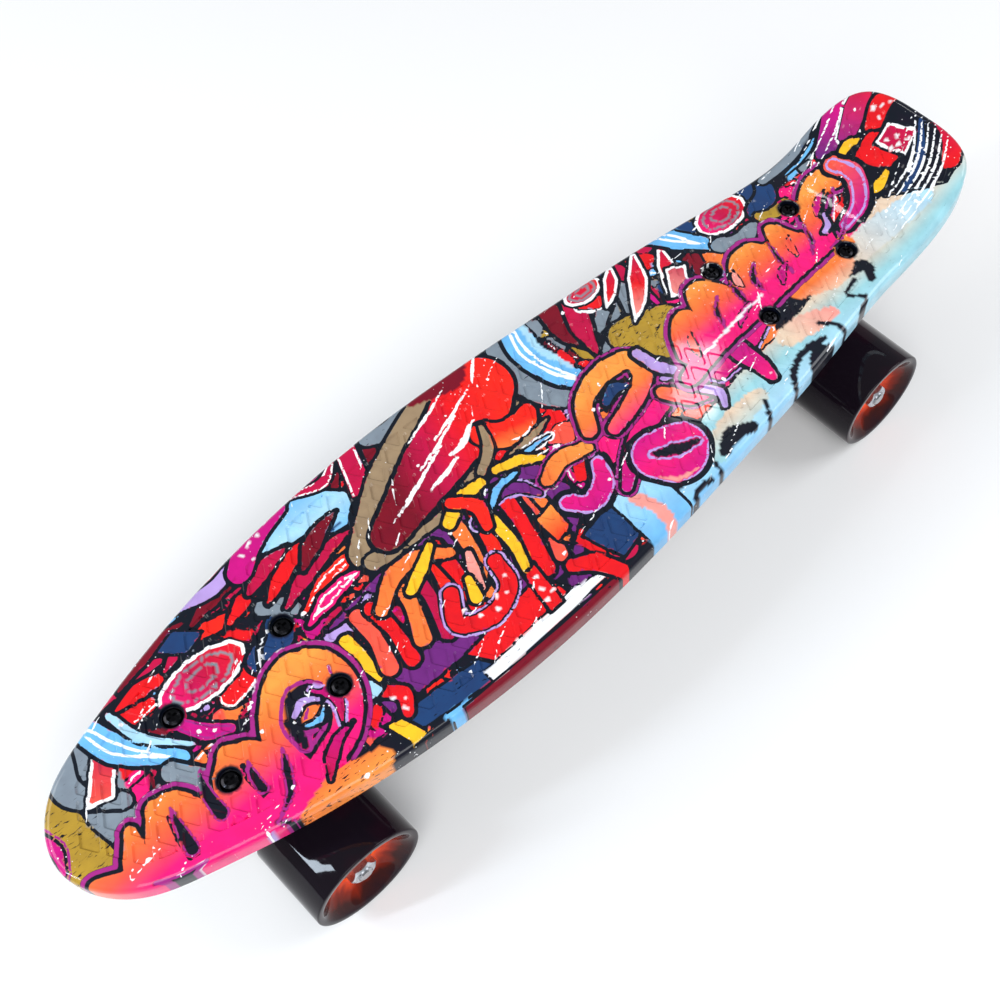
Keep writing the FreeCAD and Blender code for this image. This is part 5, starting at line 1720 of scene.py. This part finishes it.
class SKATEBOARD_OT_bushings(bpy.types.Operator):
    """Soft urethane bushings round the kingpins"""
    bl_idname = "skateboard.bushings"
    bl_label = "Bushings"

    def execute(self, context):
        material = urethane_finish()
        for end in ENDS:
            inwards = -1 if end == "rear" else 1
            direction = Vector((inwards * math.sin(KINGPIN_LEAN), 0, -math.cos(KINGPIN_LEAN)))
            pad_low, pad_high = box_mm(f"{end}_riser_pad")
            seat = Vector(((pad_low[0] + pad_high[0]) / 2 + KINGPIN_SHIFT * inwards, 0,
                           pad_low[2] - KINGPIN_DROP))
            hanger = f"{end}_truck_hanger"
            for where, start, height, bodies in (("board_side", 1.6, 13.0, ("deck", hanger)),
                                                 ("road_side", 20.8, 9.0, (hanger, "deck"))):
                self.make_bushing(end, where, seat, direction, start, height, bodies, material)
        return {"FINISHED"}

    @staticmethod
    def make_bushing(end, where, seat, direction, start, height, bodies, material):
        bore, outer, waist, shoulder, corner = 5.05, 11.4, 10.1, 0.4, 1.2
        half = height / 2 - BUSHING_GAP
        corners = [(-half, bore), (-half, outer), (-shoulder * half, outer), (0, waist),
                   (shoulder * half, outer), (half, outer), (half, bore)]
        profile = rounded_profile(corners, corner)
        middle = seat + direction * (start + height / 2)
        name = f"{end}_{where}_urethane"
        segments = 64
        mesh = ring_mesh(name, profile, middle, direction, segments, material)
        bushing = new_piece(name, mesh)
        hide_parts(f"{end}_{where}_bushing")
        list(bodies)
        (middle - direction * half) * MM
        (middle + direction * half) * MM
        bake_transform(bushing)


class SKATEBOARD_OT_trucks(bpy.types.Operator):
    """Cast hangers and baseplates, axles, kingpins, washers and nuts"""
    bl_idname = "skateboard.trucks"
    bl_label = "Trucks"

    def execute(self, context):
        casting = casting_finish()
        steel = metal_finish("turned_steel", (0.30, 0.31, 0.33), (0.62, 0.63, 0.65), 0.24, 0.3, 0.25)
        zinc = metal_finish("zinc_plate", (0.42, 0.44, 0.48), (0.72, 0.74, 0.78), 0.30, 0.5, 0.15)
        cup = moulded_finish("cup_plastic", (0.02, 0.02, 0.022), (0.05, 0.05, 0.055), 1.4, 0.42, 0.1)
        tree = thread_tree(steel)
        voxel = 0.75
        for end in ENDS:
            softened_casting(f"{end}_hanger", f"{end}_cast_hanger", voxel, casting, f"{end}_truck_hanger")
            softened_casting(f"{end}_baseplate", f"{end}_cast_baseplate", voxel, casting, "deck")
            paint_node(f"{end}_pivot_cup", cup)
            for node in ("kingpin", "axle"):
                paint_node(f"{end}_{node}", steel)
            for node in ("kingpin_nut", "axle_nuts", "board_side_washer", "road_side_washer",
                         "axle_washers"):
                paint_node(f"{end}_{node}", zinc)
            self.axle_threads(end, tree)
        return {"FINISHED"}

    @staticmethod
    def axle_threads(end, tree):
        centre = axle_centre(end)
        axle_end = box_mm(f"{end}_axle")[1][1]
        nut_end = box_mm(f"{end}_axle_nuts")[1][1]
        length = axle_end - nut_end + AXLE_THREAD_EXTRA
        for side, sign in (("near", -1), ("far", 1)):
            place = (centre[0], sign * (nut_end - AXLE_THREAD_START), centre[2])
            threads(f"{end}_{side}_axle_thread", [place], (0, sign, 0), AXLE_THREAD_RADIUS, THREAD_PITCH,
                    length, tree, f"{end}_truck_hanger")


class SKATEBOARD_OT_fasteners(bpy.types.Operator):
    """Deck bolts with crossed drives and threads, deck nuts and rubber risers"""
    bl_idname = "skateboard.fasteners"
    bl_label = "Fasteners and risers"

    def execute(self, context):
        black = metal_finish("black_oxide", (0.006, 0.006, 0.008), (0.030, 0.030, 0.034), 0.22, 0.6, 0.2)
        zinc = bpy.data.materials["zinc_plate"]
        rubber = moulded_finish("riser_rubber", (0.012, 0.012, 0.013), (0.034, 0.034, 0.036), 1.8, 0.62, 0.2)
        tree = thread_tree(black)
        for index, end in enumerate(ENDS):
            paint_node(f"{end}_deck_bolts", black)
            paint_node(f"{end}_deck_nuts", zinc)
            paint_node(f"{end}_riser_pad", rubber)
            bolt_end = box_mm(f"{end}_deck_bolts")[0][2]
            nut_end = box_mm(f"{end}_deck_nuts")[0][2]
            length = nut_end - bolt_end - BOLT_THREAD_CLEARANCE
            places = [(x, y, nut_end) for x, y in BOLTS[index * 4:index * 4 + 4]]
            threads(f"{end}_bolt_threads", places, (0, 0, -1), BOLT_THREAD_RADIUS, THREAD_PITCH, length,
                    tree, "deck")
        return {"FINISHED"}


class SKATEBOARD_OT_bearings(bpy.types.Operator):
    """Bearings: races, shields, cages, balls and spacers"""
    bl_idname = "skateboard.bearings"
    bl_label = "Bearings"

    def execute(self, context):
        steel = metal_finish("bearing_steel", (0.46, 0.47, 0.50), (0.86, 0.87, 0.90), 0.16, 0.5, 0.12)
        shield = metal_finish("shield_steel", (0.36, 0.37, 0.40), (0.70, 0.71, 0.74), 0.28, 0.4, 0.3)
        nylon = moulded_finish("cage_nylon", (0.20, 0.12, 0.05), (0.34, 0.22, 0.10), 1.2, 0.5, 0.1)
        for end in ENDS:
            for side in SIDES:
                for node in ("bearing_outer_races", "bearing_inner_races", "bearing_spacer",
                             "bearing_balls"):
                    paint_node(f"{end}_{side}_{node}", steel)
                paint_node(f"{end}_{side}_bearing_shields", shield)
                paint_node(f"{end}_{side}_bearing_cages", nylon)
        return {"FINISHED"}


PIECE_OPERATORS = (
    SKATEBOARD_OT_stage, SKATEBOARD_OT_deck, SKATEBOARD_OT_wheels, SKATEBOARD_OT_bushings,
    SKATEBOARD_OT_trucks, SKATEBOARD_OT_fasteners, SKATEBOARD_OT_bearings)


class SKATEBOARD_PT_panel(bpy.types.Panel):
    """Sizes, colours and the operators that build the board"""
    bl_idname = "SKATEBOARD_PT_panel"
    bl_label = "Cruiser skateboard"
    bl_space_type = "VIEW_3D"
    bl_region_type = "UI"
    bl_category = "Skateboard"

    def draw(self, context):
        scene = context.scene
        for settings in (scene.cruiser_deck, scene.cruiser_wheels, scene.cruiser_stage):
            box = self.layout.box()
            for name in settings.__annotations__:
                box.prop(settings, name)
        for operator in PIECE_OPERATORS:
            self.layout.operator(operator.bl_idname)


CLASSES = (SKATEBOARD_PG_deck, SKATEBOARD_PG_wheels, SKATEBOARD_PG_stage, *PIECE_OPERATORS,
           SKATEBOARD_PT_panel)


def register():
    for cls in CLASSES:
        bpy.utils.register_class(cls)
    bpy.types.Scene.cruiser_deck = bpy.props.PointerProperty(type=SKATEBOARD_PG_deck)
    bpy.types.Scene.cruiser_wheels = bpy.props.PointerProperty(type=SKATEBOARD_PG_wheels)
    bpy.types.Scene.cruiser_stage = bpy.props.PointerProperty(type=SKATEBOARD_PG_stage)


def unregister():
    del bpy.types.Scene.cruiser_stage
    del bpy.types.Scene.cruiser_wheels
    del bpy.types.Scene.cruiser_deck
    for cls in reversed(CLASSES):
        bpy.utils.unregister_class(cls)


def main():
    register()
    bpy.ops.skateboard.stage()
    bpy.ops.skateboard.deck()
    bpy.ops.skateboard.wheels()
    bpy.ops.skateboard.bushings()
    bpy.ops.skateboard.trucks()
    bpy.ops.skateboard.fasteners()
    bpy.ops.skateboard.bearings()


if __name__ == "__main__":
    main()
